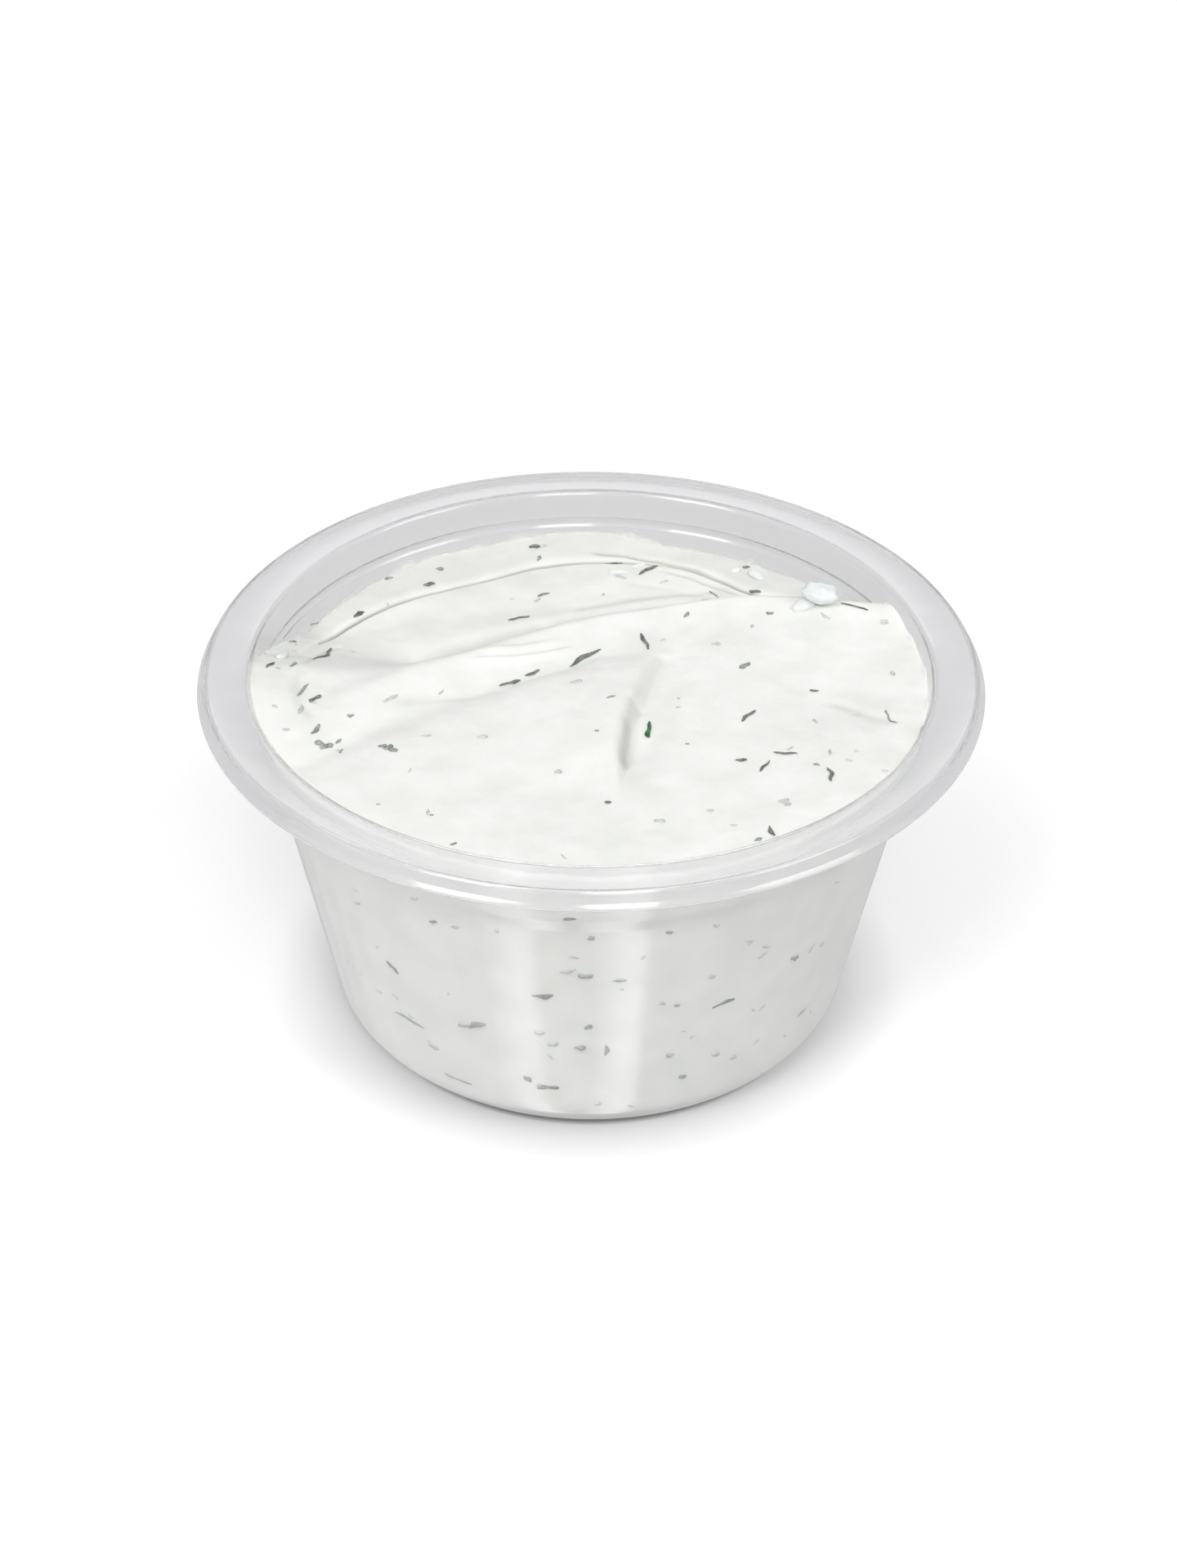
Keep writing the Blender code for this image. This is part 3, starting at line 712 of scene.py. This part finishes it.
def hollow_height(x, y):
    """The floor of the scoop and the smear that climbs the wall outside its crease."""
    bearing = math.atan2(y, x)
    past = math.hypot(x, y) - crease_radius(bearing)
    top = SMEAR_LEVEL + SMEAR_PEAK * bell((bearing - SMEAR_BEARING) / SMEAR_SPREAD)
    lip = CREASE_STEP * smooth_step(past / CREASE_RISE_WIDTH) - CREASE_CUT * bell(past / CREASE_WIDTH)
    climb = (top - SCOOP_LEVEL - CREASE_STEP) * smooth_step(past / SMEAR_WIDTH)
    lumps = LUMP_RISE * math.sin(LUMPS_PER_TURN * bearing) * smooth_step(past / SMEAR_WIDTH)
    streaks = STREAK_RISE * math.sin((y - STREAK_LEAN * x) / STREAK_PITCH)
    return SCOOP_LEVEL + lip + climb + lumps + streaks + mound_height(WALL_CLUMP, x, y)


def crest_wear(x):
    """How far in front of its line the crest has slumped, most in the middle."""
    right = smooth_step((WEAR_RIGHT - x) / WEAR_FADE)
    return CREST_WEAR * right * smooth_step((x - WEAR_LEFT) / WEAR_FADE)


def scooped(x, y):
    """How far a place belongs to the scooped hollow, 0 on the front mass to 1 on its floor."""
    behind = y - crest_line(x) + crest_wear(x)
    bearing = math.atan2(y, x) % TURN
    if behind <= 0.0 or bearing > math.pi:
        return 0.0
    return smooth_step(behind / slope_width(x)) * hollow_share(bearing)


def surface_height(x, y):
    """The height of the top without the lines and the grain."""
    front = front_height(x, y)
    share = scooped(x, y)
    return front + (hollow_height(x, y) - front) * share if share else front


def stroke_nearness(stroke, x, y):
    """1 on a stroke's line, falling to 0 beside it and at its two ends."""
    best = 0.0
    reach = STROKE_REACH * stroke.width
    last = len(stroke.points) - 2
    for i, ((ax, ay), (bx, by)) in enumerate(zip(stroke.points, stroke.points[1:])):
        if not (min(ax, bx) - reach < x < max(ax, bx) + reach):
            continue
        if not (min(ay, by) - reach < y < max(ay, by) + reach):
            continue
        long_x, long_y = bx - ax, by - ay
        along = ((x - ax) * long_x + (y - ay) * long_y) / (long_x * long_x + long_y * long_y)
        held = min(max(along, 0.0), 1.0)
        apart = math.hypot(x - ax - held * long_x, y - ay - held * long_y)
        fade = smooth_step(along / STROKE_FADE) if i == 0 else 1.0
        fade *= smooth_step((1.0 - along) / STROKE_FADE) if i == last else 1.0
        best = max(best, fade * bell(apart / stroke.width))
    return best


def stroke_relief(x, y):
    """Height and painted shade, with a little juice, of the spoon's lines at a place."""
    rise, stain = 0.0, 0.0
    for stroke in STROKES:
        near = stroke_nearness(stroke, x / MM, y / MM)
        rise -= near * stroke.depth * MM
        stain = max(stain, near * stroke.stain)
    return rise, stain


def crease_juice_and_shade(x, y):
    """How much painted shade, with a little juice, darkens the crease and the smear above it."""
    bearing = math.atan2(y, x)
    if bearing < math.radians(CREASE[1][0]) or bearing > math.radians(CREASE[-2][0]):
        return 0.0
    past = math.hypot(x, y) - crease_radius(bearing)
    return max(bell(past / CREASE_WIDTH), SMEAR_SHADE * smooth_step(past / CREASE_RISE_WIDTH))


def fine_height(x, y):
    """The height of the top with the lines and the grain."""
    grain = sum(rise * noise.noise(Vector((x, y, 0.0)) / pitch) for pitch, rise in GRAINS)
    return surface_height(x, y) + stroke_relief(x, y)[0] + grain


def edge_point(bearing):
    """Where the top meets the wall: found by a few steps, as the wall leans."""
    radius = inner_radius(FRONT_LEVEL) + REACH
    for _ in range(EDGE_STEPS):
        height = fine_height(radius * math.cos(bearing), radius * math.sin(bearing))
        radius = inner_radius(height) + REACH
    return radius, height


def ragged_rise(bearing, inset):
    """How far the cream clings up the wall, unevenly, at a distance from it."""
    place = outward(bearing) * MOUTH_RADIUS
    uneven = noise.noise(place / RAGGED_PITCH)
    uneven += RAGGED_FINE * noise.noise(place * RAGGED_FINER / RAGGED_PITCH)
    return RAGGED_RISE * max(uneven, 0.0) * smooth_step(1.0 - inset / RAGGED_WIDTH)


def ring_shares():
    shares = [0.0]
    for count, end in RING_BANDS:
        start = shares[-1]
        shares += [start + (end - start) * i / count for i in range(1, count + 1)]
    return shares[1:]


def top_rings(edges):
    rings = []
    for share in ring_shares():
        ring = []
        for j, (radius, _) in enumerate(edges):
            bearing = TURN * j / DIP_SEGMENTS
            x = radius * share * math.cos(bearing)
            y = radius * share * math.sin(bearing)
            height = fine_height(x, y) + ragged_rise(bearing, radius * (1.0 - share))
            ring.append((x, y, height))
        rings.append(ring)
    return rings


def side_rings(rim):
    """Rings down the wall from the uneven edge of the top, then over the heel to the base."""
    rings = []
    for i in range(1, SIDE_RINGS + 1):
        ring = []
        for x, y, height in rim:
            z = height + (SHOULDER_LOW - height) * i / SIDE_RINGS
            out = (inner_radius(z) + REACH) / math.hypot(x, y)
            ring.append((x * out, y * out, z))
        rings.append(ring)
    path = [point for point in offset_path(top_face_path(), REACH) if point.y < SHOULDER_LOW]
    path = [point for point in path if point.x < inner_radius(SHOULDER_LOW)][:0:-1]
    for point in path:
        turns = [TURN * j / DIP_SEGMENTS for j in range(DIP_SEGMENTS)]
        rings.append([(point.x * math.cos(t), point.x * math.sin(t), point.y) for t in turns])
    return rings


def paint_juice_and_shade(mesh, count):
    """A value on each point of the top: how much painted shade, with a little juice, darkens it."""
    values = mesh.attributes.new("stain", "FLOAT", "POINT").data
    for vert, value in zip(mesh.vertices[:count], values[:count]):
        x, y, _ = vert.co
        value.value = max(crease_juice_and_shade(x, y), stroke_relief(x, y)[1], HOLLOW_SHADE * scooped(x, y))


def build_dip():
    edges = [edge_point(TURN * j / DIP_SEGMENTS) for j in range(DIP_SEGMENTS)]
    tops = top_rings(edges)
    rings = tops + side_rings(tops[-1])
    top = (0.0, 0.0, fine_height(0.0, 0.0))
    base = (0.0, 0.0, BASE_LIFT + SHEET - REACH)
    dip = skin_rings("tzatziki_cream", rings, top, base)
    paint_juice_and_shade(dip.data, len(tops) * DIP_SEGMENTS)
    dip.data.materials.append(cream_material())
    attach(dip, "root")
    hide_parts("tzatziki")


def film_column(bearing):
    """One upright line of the film, from the edge of the top to its own uneven end."""
    out = outward(bearing)
    _, height = edge_point(bearing)
    reach = FILM_LEAST + max(noise.noise(out * MOUTH_RADIUS / FILM_PITCH + UP), 0.0)
    column = []
    for i in range(FILM_ROWS + 1):
        z = height + FILM_RISE * reach * i / FILM_ROWS
        column.append(out * (inner_radius(z) - FILM_OFF_WALL) + UP * z)
    return column


def build_film():
    """The smear the spoon left on the wall, thinner towards its upper end."""
    verts = []
    for j in range(FILM_SEGMENTS + 1):
        verts += film_column(FILM_START + (FILM_END - FILM_START) * j / FILM_SEGMENTS)
    rows = FILM_ROWS + 1
    faces = []
    for j in range(FILM_SEGMENTS):
        for k in range(j * rows, j * rows + FILM_ROWS):
            faces.append((k, k + 1, k + rows + 1, k + rows))
    film = link_mesh("wall_film", verts, faces)
    values = film.data.attributes.new("cover", "FLOAT", "POINT").data
    for k, value in enumerate(values):
        value.value = 1.0 - (k % rows) / FILM_ROWS
    film.data.materials.append(film_material())
    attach(film, "root")


# The cucumber

def add_bit(bm, bit):
    """One soft lump, half sunk where the line of sight meets the top."""
    start, end = mark_ends(bit, in_dip)
    place, normal = top_station(0.5 * (start + end), 0.0)
    wide = real_width(bit, start)
    long = min((end - start).length, BIT_LONGEST * wide)
    along = (end - start).normalized()
    side = normal.cross(along).normalized()
    axes = Matrix((along * long, side * wide, normal * BIT_FLAT * wide)).transposed()
    made = bmesh.ops.create_icosphere(bm, subdivisions=3, radius=0.5)["verts"]
    for vert in made:
        point = axes @ vert.co + place + normal * bit.rise * wide
        swell = 1.0 + BIT_UNEVEN * noise.noise(point / BIT_PITCH)
        vert.co = place + (point - place) * swell


def build_cucumber():
    bm = bmesh.new()
    for bit in BITS:
        add_bit(bm, bit)
    bits = link_mesh("cucumber_bits", [], [])
    bm.to_mesh(bits.data)
    bm.free()
    bits.data.shade_smooth()
    bits.data.materials.append(cucumber_material())
    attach(bits, "root")


# The dill

def in_dip(point):
    radius = math.hypot(point.x, point.y)
    return radius < MOUTH_RADIUS and point.z < fine_height(point.x, point.y)


def in_side(point):
    return point.z < LIP_BOTTOM and math.hypot(point.x, point.y) < inner_radius(point.z) + REACH


def top_station(place, lift):
    """The point over a place in plan, lifted off the top, and the top's normal there."""
    height = fine_height(place.x, place.y)
    slope_x = (fine_height(place.x + SLOPE_SPAN, place.y) - height) / SLOPE_SPAN
    slope_y = (fine_height(place.x, place.y + SLOPE_SPAN) - height) / SLOPE_SPAN
    normal = Vector((-slope_x, -slope_y, 1.0)).normalized()
    return Vector((place.x, place.y, height)) + normal * lift, normal


def side_station(place, lift):
    """The point on the dip's side nearest a place, lifted towards the plastic."""
    out = outward(math.atan2(place.y, place.x))
    radius = inner_radius(place.z) + REACH
    return out * (radius + lift) + UP * place.z, out


class Leaves:
    """Small leaves gathered into one mesh, each a bowed strip that tapers at both ends."""

    def __init__(self):
        self.verts = []
        self.faces = []

    def add(self, start, end, width, station, lift, bow):
        middle = 0.5 * (start + end)
        _, normal = station(middle, lift)
        side = normal.cross(end - start)
        first = len(self.verts)
        for i in range(LEAF_STATIONS):
            t = i / (LEAF_STATIONS - 1)
            spot = (start + end) / LEAF_PITCH + UP * t * LEAF_WAVES
            kink = LEAF_KINK * noise.noise(spot + UP * LEAF_WAVES)
            place = start.lerp(end, t) + side * (bow * math.sin(math.pi * t) + kink)
            point, normal = station(place, lift)
            across = normal.cross(end - start).normalized()
            held = min(max(t, LEAF_END), 1.0 - LEAF_END)
            taper = LEAF_TIP + (1.0 - LEAF_TIP) * math.sqrt(math.sin(math.pi * held))
            taper *= 1.0 + LEAF_UNEVEN * noise.noise(spot)
            for k in range(LEAF_SIDES):
                turn = TURN * k / LEAF_SIDES
                spread = across * math.cos(turn) + normal * math.sin(turn) * LEAF_FLAT
                self.verts.append(point + spread * 0.5 * width * taper)
        self.close(first)

    def close(self, first):
        for i in range(LEAF_STATIONS - 1):
            base = first + i * LEAF_SIDES
            for k in range(LEAF_SIDES):
                after = (k + 1) % LEAF_SIDES
                self.faces.append(
                    (base + k, base + after, base + LEAF_SIDES + after, base + LEAF_SIDES + k)
                )
        last = first + (LEAF_STATIONS - 1) * LEAF_SIDES
        self.faces.append(tuple(first + k for k in reversed(range(LEAF_SIDES))))
        self.faces.append(tuple(last + k for k in range(LEAF_SIDES)))

    def finish(self, name, mat):
        leaves = link_mesh(name, self.verts, self.faces)
        leaves.data.materials.append(mat)
        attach(leaves, "root")


def fleck_parts(fleck, draw):
    """A narrow fleck is one leaf; a wide one is a clump of three side by side."""
    if fleck.width < WIDE_FLECK:
        return [fleck]
    parts = []
    for shift in CLUMP_SHIFTS:
        x = fleck.x + (shift + draw.uniform(-CLUMP_JITTER, CLUMP_JITTER)) * fleck.length
        y = fleck.y + draw.uniform(-CLUMP_SPREAD, CLUMP_SPREAD) * fleck.width
        angle = fleck.angle + draw.uniform(-CLUMP_LEAN, CLUMP_LEAN)
        width = draw.uniform(*CLUMP_WIDTHS) * fleck.width
        parts.append(Fleck(x, y, CLUMP_LENGTH * fleck.length, width, angle, fleck.cover))
    return parts


def add_fleck(leaves, fleck, inside, station, lift, draw, slim=LEAF_SLIM):
    """A leaf or a clump at its place in the photograph, laid on what carries it."""
    for part in fleck_parts(fleck, draw):
        start, end = mark_ends(part, inside)
        if start and end:
            width = slim * real_width(part, start)
            leaves.add(start, end, width, station, lift, draw.uniform(-1, 1) * LEAF_BOW)


def scatter_top(leaves, draw):
    """Fine specks all over the top."""
    for _ in range(TOP_SPECKS):
        radius = MOUTH_RADIUS * SPECK_REACH * math.sqrt(draw.random())
        bearing = draw.uniform(0.0, TURN)
        center = Vector((radius * math.cos(bearing), radius * math.sin(bearing), 0.0))
        heading = draw.uniform(0.0, math.pi)
        half = outward(heading) * 0.5 * draw.uniform(*SPECK_LENGTH)
        leaves[draw.choice((1, 2, 2))].add(
            center - half, center + half, draw.uniform(*SPECK_WIDTH), top_station, 0.0, 0.0
        )


def scatter_side(leaves, draw, count, start, end, lengths, covers):
    """Flecks behind the plastic between two bearings."""
    for _ in range(count):
        bearing = draw.uniform(start, end)
        z = draw.uniform(WALL_SPECK_LOW, WALL_SPECK_HIGH)
        out = outward(bearing)
        round_wall = Vector((-math.sin(bearing), math.cos(bearing), 0.0))
        heading = draw.uniform(-SPECK_HEADING, SPECK_HEADING)
        half = (round_wall * math.cos(heading) + UP * math.sin(heading)) * 0.5 * draw.uniform(*lengths)
        center = out * inner_radius(z) + UP * z
        bow = draw.uniform(-SPECK_BOW, SPECK_BOW)
        leaves[draw.choice(covers)].add(
            center - half, center + half, draw.uniform(*SPECK_WIDTH), side_station, WALL_LIFT, bow
        )


def build_dill():
    draw = random.Random(SPECK_SEED)
    leaves = [Leaves(), Leaves(), Leaves()]
    for fleck in map(Fleck._make, TOP_FLECKS):
        add_fleck(leaves[fleck.cover], fleck, in_dip, top_station, LEAF_LIFTS[fleck.cover], draw)
    for fleck in map(Fleck._make, SIDE_FLECKS):
        add_fleck(leaves[fleck.cover], fleck, in_side, side_station, WALL_LIFT, draw, LEAF_BROAD)
    scatter_top(leaves, draw)
    scatter_side(leaves, draw, BACK_SPECKS, BACK_START, BACK_END, WALL_LENGTH, (0, 1, 1, 2))
    scatter_side(leaves, draw, FRONT_SPECKS, BACK_END, BACK_START + TURN, SPECK_LENGTH, (2,))
    leaves.append(Leaves())
    add_fleck(leaves[-1], VIVID_FLECK, in_dip, top_station, LEAF_LIFTS[0], draw)
    for kind, (name, dark, light) in zip(leaves, DILL_TINTS):
        kind.finish(name, dill_material(name, dark, light))


# Materials

def set_inputs(node, values):
    for key, value in values.items():
        node.inputs[key].default_value = value


def add_node(tree, kind, values=None):
    node = tree.nodes.new("ShaderNode" + kind)
    set_inputs(node, values or {})
    return node


def link(source, target):
    target.id_data.links.new(source, target)


def new_material(name, surface):
    """A material whose main shader has the inputs of a surface."""
    mat = bpy.data.materials.new(name)
    mat.use_nodes = True
    shader = mat.node_tree.nodes["Principled BSDF"]
    set_inputs(shader, surface)
    return mat, mat.node_tree, shader


def noise_texture(tree, pitch, detail):
    """Noise in the object's own metres, with features of about the pitch."""
    texture = add_node(tree, "TexNoise", {"Scale": 1.0 / pitch, "Detail": detail})
    link(add_node(tree, "TexCoord").outputs["Object"], texture.inputs["Vector"])
    return texture.outputs["Fac"]


def color_ramp(tree, value, stops):
    ramp = add_node(tree, "ValToRGB")
    elements = ramp.color_ramp.elements
    while len(elements) < len(stops):
        elements.new(0.5)
    for element, (place, color) in zip(elements, stops):
        element.position = place
        element.color = (*color, 1.0)
    link(value, ramp.inputs["Fac"])
    return ramp.outputs["Color"]


def two_tone(tree, pitch, detail, dark, light):
    stops = (RAMP_LOW, dark), (RAMP_HIGH, light)
    return color_ramp(tree, noise_texture(tree, pitch, detail), stops)


def uneven_value(tree, pitch, detail, low, high):
    span = {"From Min": NOISE_LOW, "From Max": NOISE_HIGH, "To Min": low, "To Max": high}
    node = add_node(tree, "MapRange", span)
    link(noise_texture(tree, pitch, detail), node.inputs["Value"])
    return node.outputs["Result"]


def bump(tree, pitch, detail, distance, strength, normal=None):
    node = add_node(tree, "Bump", {"Distance": distance, "Strength": strength})
    link(noise_texture(tree, pitch, detail), node.inputs["Height"])
    if normal:
        link(normal, node.inputs["Normal"])
    return node.outputs["Normal"]


def point_value(tree, name):
    """A value stored on the points of the mesh."""
    node = add_node(tree, "Attribute")
    node.attribute_name = name
    return node.outputs["Fac"]


def mix_shaders(tree, usual, other):
    mix = add_node(tree, "MixShader")
    link(usual, mix.inputs[1])
    link(other, mix.inputs[2])
    return mix


def end_by_ray(tree, ray, usual, other):
    """Ends a material with one shader for a kind of ray and the usual one for all the rest."""
    mix = mix_shaders(tree, usual, other)
    link(add_node(tree, "LightPath").outputs[ray], mix.inputs["Fac"])
    link(mix.outputs["Shader"], tree.nodes["Material Output"].inputs["Surface"])


def plastic_material():
    """Clear formed plastic: faintly grey, glossy, with a slight flow to its surface."""
    mat, tree, shader = new_material("clear_plastic", PLASTIC_SURFACE)
    link(bump(tree, *PLASTIC_FLOW), shader.inputs["Normal"])
    clear = add_node(tree, "BsdfTransparent", {"Color": PLASTIC_SHADE})
    end_by_ray(tree, "Is Shadow Ray", shader.outputs["BSDF"], clear.outputs["BSDF"])
    return mat


def cream_material():
    """Strained yoghurt: off-white, soft all through and moist, darkened by painted shade in its
    creases and hollows, with a little juice.
    """
    mat, tree, shader = new_material("tzatziki_cream", CREAM_SURFACE)
    mix = add_node(tree, "Mix")
    mix.data_type = "RGBA"
    # Painted shade, with a little juice, mixed in by the points' value
    link(point_value(tree, "stain"), mix.inputs["Factor"])
    link(two_tone(tree, *CREAM_TINT), mix.inputs["A"])
    mix.inputs["B"].default_value = JUICE_AND_SHADE_COLOR
    link(mix.outputs["Result"], shader.inputs["Base Color"])
    link(uneven_value(tree, *CREAM_ROUGHNESS), shader.inputs["Roughness"])
    soft = bump(tree, *CREAM_SOFT)
    link(bump(tree, *CREAM_FINE, normal=soft), shader.inputs["Normal"])
    return mat


def film_material():
    """Cream so thin that the plastic shows through, patchy, and gone at its upper end."""
    mat, tree, shader = new_material("cream_film", FILM_SURFACE)
    thickness = add_node(tree, "Math")
    thickness.operation = "MULTIPLY"
    link(point_value(tree, "cover"), thickness.inputs[0])
    link(uneven_value(tree, *FILM_COVER), thickness.inputs[1])
    link(thickness.outputs["Value"], shader.inputs["Alpha"])
    return mat


def cucumber_material():
    """Grated cucumber under a little cream: bluish white, wet and a little see-through."""
    mat, tree, shader = new_material("cucumber_flesh", FLESH_SURFACE)
    link(two_tone(tree, *FLESH_TINT), shader.inputs["Base Color"])
    link(bump(tree, *FLESH_FIBRES), shader.inputs["Normal"])
    return mat


def dill_material(name, dark, light):
    """Dill leaf, moist and veined, paler where the cream covers it."""
    mat, tree, shader = new_material(name, DILL_SURFACE)
    link(two_tone(tree, *DILL_NOISE, dark, light), shader.inputs["Base Color"])
    link(bump(tree, *DILL_VEINS), shader.inputs["Normal"])
    return mat


# The stage

def painted_contact_shadow(tree):
    """White, with a painted shadow: dark in a narrow soft ring where the foot meets the floor."""
    distance = add_node(tree, "VectorMath")
    distance.operation = "DISTANCE"
    distance.inputs[1].default_value = CONTACT_CENTER
    link(add_node(tree, "TexCoord").outputs["Object"], distance.inputs[0])
    share = add_node(tree, "MapRange", {"From Max": CONTACT_REACH * MM})
    link(distance.outputs["Value"], share.inputs["Value"])
    stops = [(radius / CONTACT_REACH, (shade,) * 3) for radius, shade in CONTACT_SHADOW]
    return color_ramp(tree, share.outputs["Result"], stops)


def floor_material():
    """Matt white with a painted contact shadow, and greyer where seen through the plastic, there
    partly a painted glow.
    """
    mat, tree, shader = new_material("floor_white", FLOOR_SURFACE)
    # The painted contact shadow goes into the floor's colour
    link(painted_contact_shadow(tree), shader.inputs["Base Color"])
    lit = add_node(tree, "BsdfDiffuse", {"Color": FLOOR_THROUGH})
    # A painted glow, seen only through the plastic
    painted_glow = add_node(tree, "Emission", {"Color": FLOOR_THROUGH})
    grey = mix_shaders(tree, lit.outputs["BSDF"], painted_glow.outputs["Emission"])
    grey.inputs["Fac"].default_value = FLOOR_GLOW_SHARE
    end_by_ray(tree, "Is Transmission Ray", shader.outputs["BSDF"], grey.outputs["Shader"])
    return mat


def add_floor():
    half = 0.5 * FLOOR_SIZE
    corners = [(-half, -half, 0.0), (half, -half, 0.0), (half, half, 0.0), (-half, half, 0.0)]
    floor = link_mesh("floor", corners, [(0, 1, 2, 3)])
    floor.data.materials.append(floor_material())
    floor.visible_glossy = False


def add_lamp(lamp):
    """A rectangular lamp that faces the pot, seen from it at an azimuth and an elevation."""
    azimuth = math.radians(lamp.azimuth)
    elevation = math.radians(lamp.elevation)
    level = math.cos(elevation)
    out = Vector((math.sin(azimuth) * level, -math.cos(azimuth) * level, math.sin(elevation)))
    data = bpy.data.lights.new(lamp.name, "AREA")
    data.shape = "RECTANGLE"
    data.size = 2.0 * LAMP_DISTANCE * math.tan(math.radians(0.5 * lamp.wide))
    data.size_y = 2.0 * LAMP_DISTANCE * math.tan(math.radians(0.5 * lamp.tall))
    data.energy = lamp.radiance * math.pi * data.size * data.size_y
    box = bpy.data.objects.new(lamp.name, data)
    box.location = out * LAMP_DISTANCE
    box.rotation_euler = out.to_track_quat("Z", "Y").to_euler()
    box.visible_camera = False
    bpy.context.scene.collection.objects.link(box)
    return box


def add_gloss_lamp(lamp):
    box = add_lamp(lamp)
    box.visible_diffuse = False
    box.visible_transmission = False


def add_lights():
    for lamp in LAMPS:
        add_lamp(lamp)
    add_gloss_lamp(BACK_GLOW)
    for right_edge, layers in STRIPS:
        for wide, radiance in layers:
            azimuth = right_edge - 0.5 * wide
            name = f"strip_{azimuth:.0f}_{wide:.0f}"
            add_gloss_lamp(Lamp(name, azimuth, STRIP_ELEVATION, wide, STRIP_TALL, radiance))


def add_world():
    """A plain pale studio that lights matt surfaces less than it shows in gloss."""
    world = bpy.data.worlds.new("studio")
    world.use_nodes = True
    tree = world.node_tree
    parts = add_node(tree, "SeparateXYZ")
    link(add_node(tree, "TexCoord").outputs["Generated"], parts.inputs["Vector"])
    height = add_node(tree, "MapRange", {"From Min": -1.0})
    link(parts.outputs["Z"], height.inputs["Value"])
    color = color_ramp(tree, height.outputs["Result"], WORLD_GREYS)
    strength = add_node(tree, "MapRange", {"To Min": 1.0, "To Max": WORLD_ON_MATT})
    link(add_node(tree, "LightPath").outputs["Is Diffuse Ray"], strength.inputs["Value"])
    background = tree.nodes["Background"]
    link(color, background.inputs["Color"])
    link(strength.outputs["Result"], background.inputs["Strength"])
    bpy.context.scene.world = world


def set_view():
    settings = bpy.context.scene.view_settings
    settings.view_transform = "Standard"
    settings.look = "None"


add_camera()
build_pot()
build_dip()
build_film()
build_cucumber()
build_dill()
add_floor()
add_lights()
add_world()
set_view()
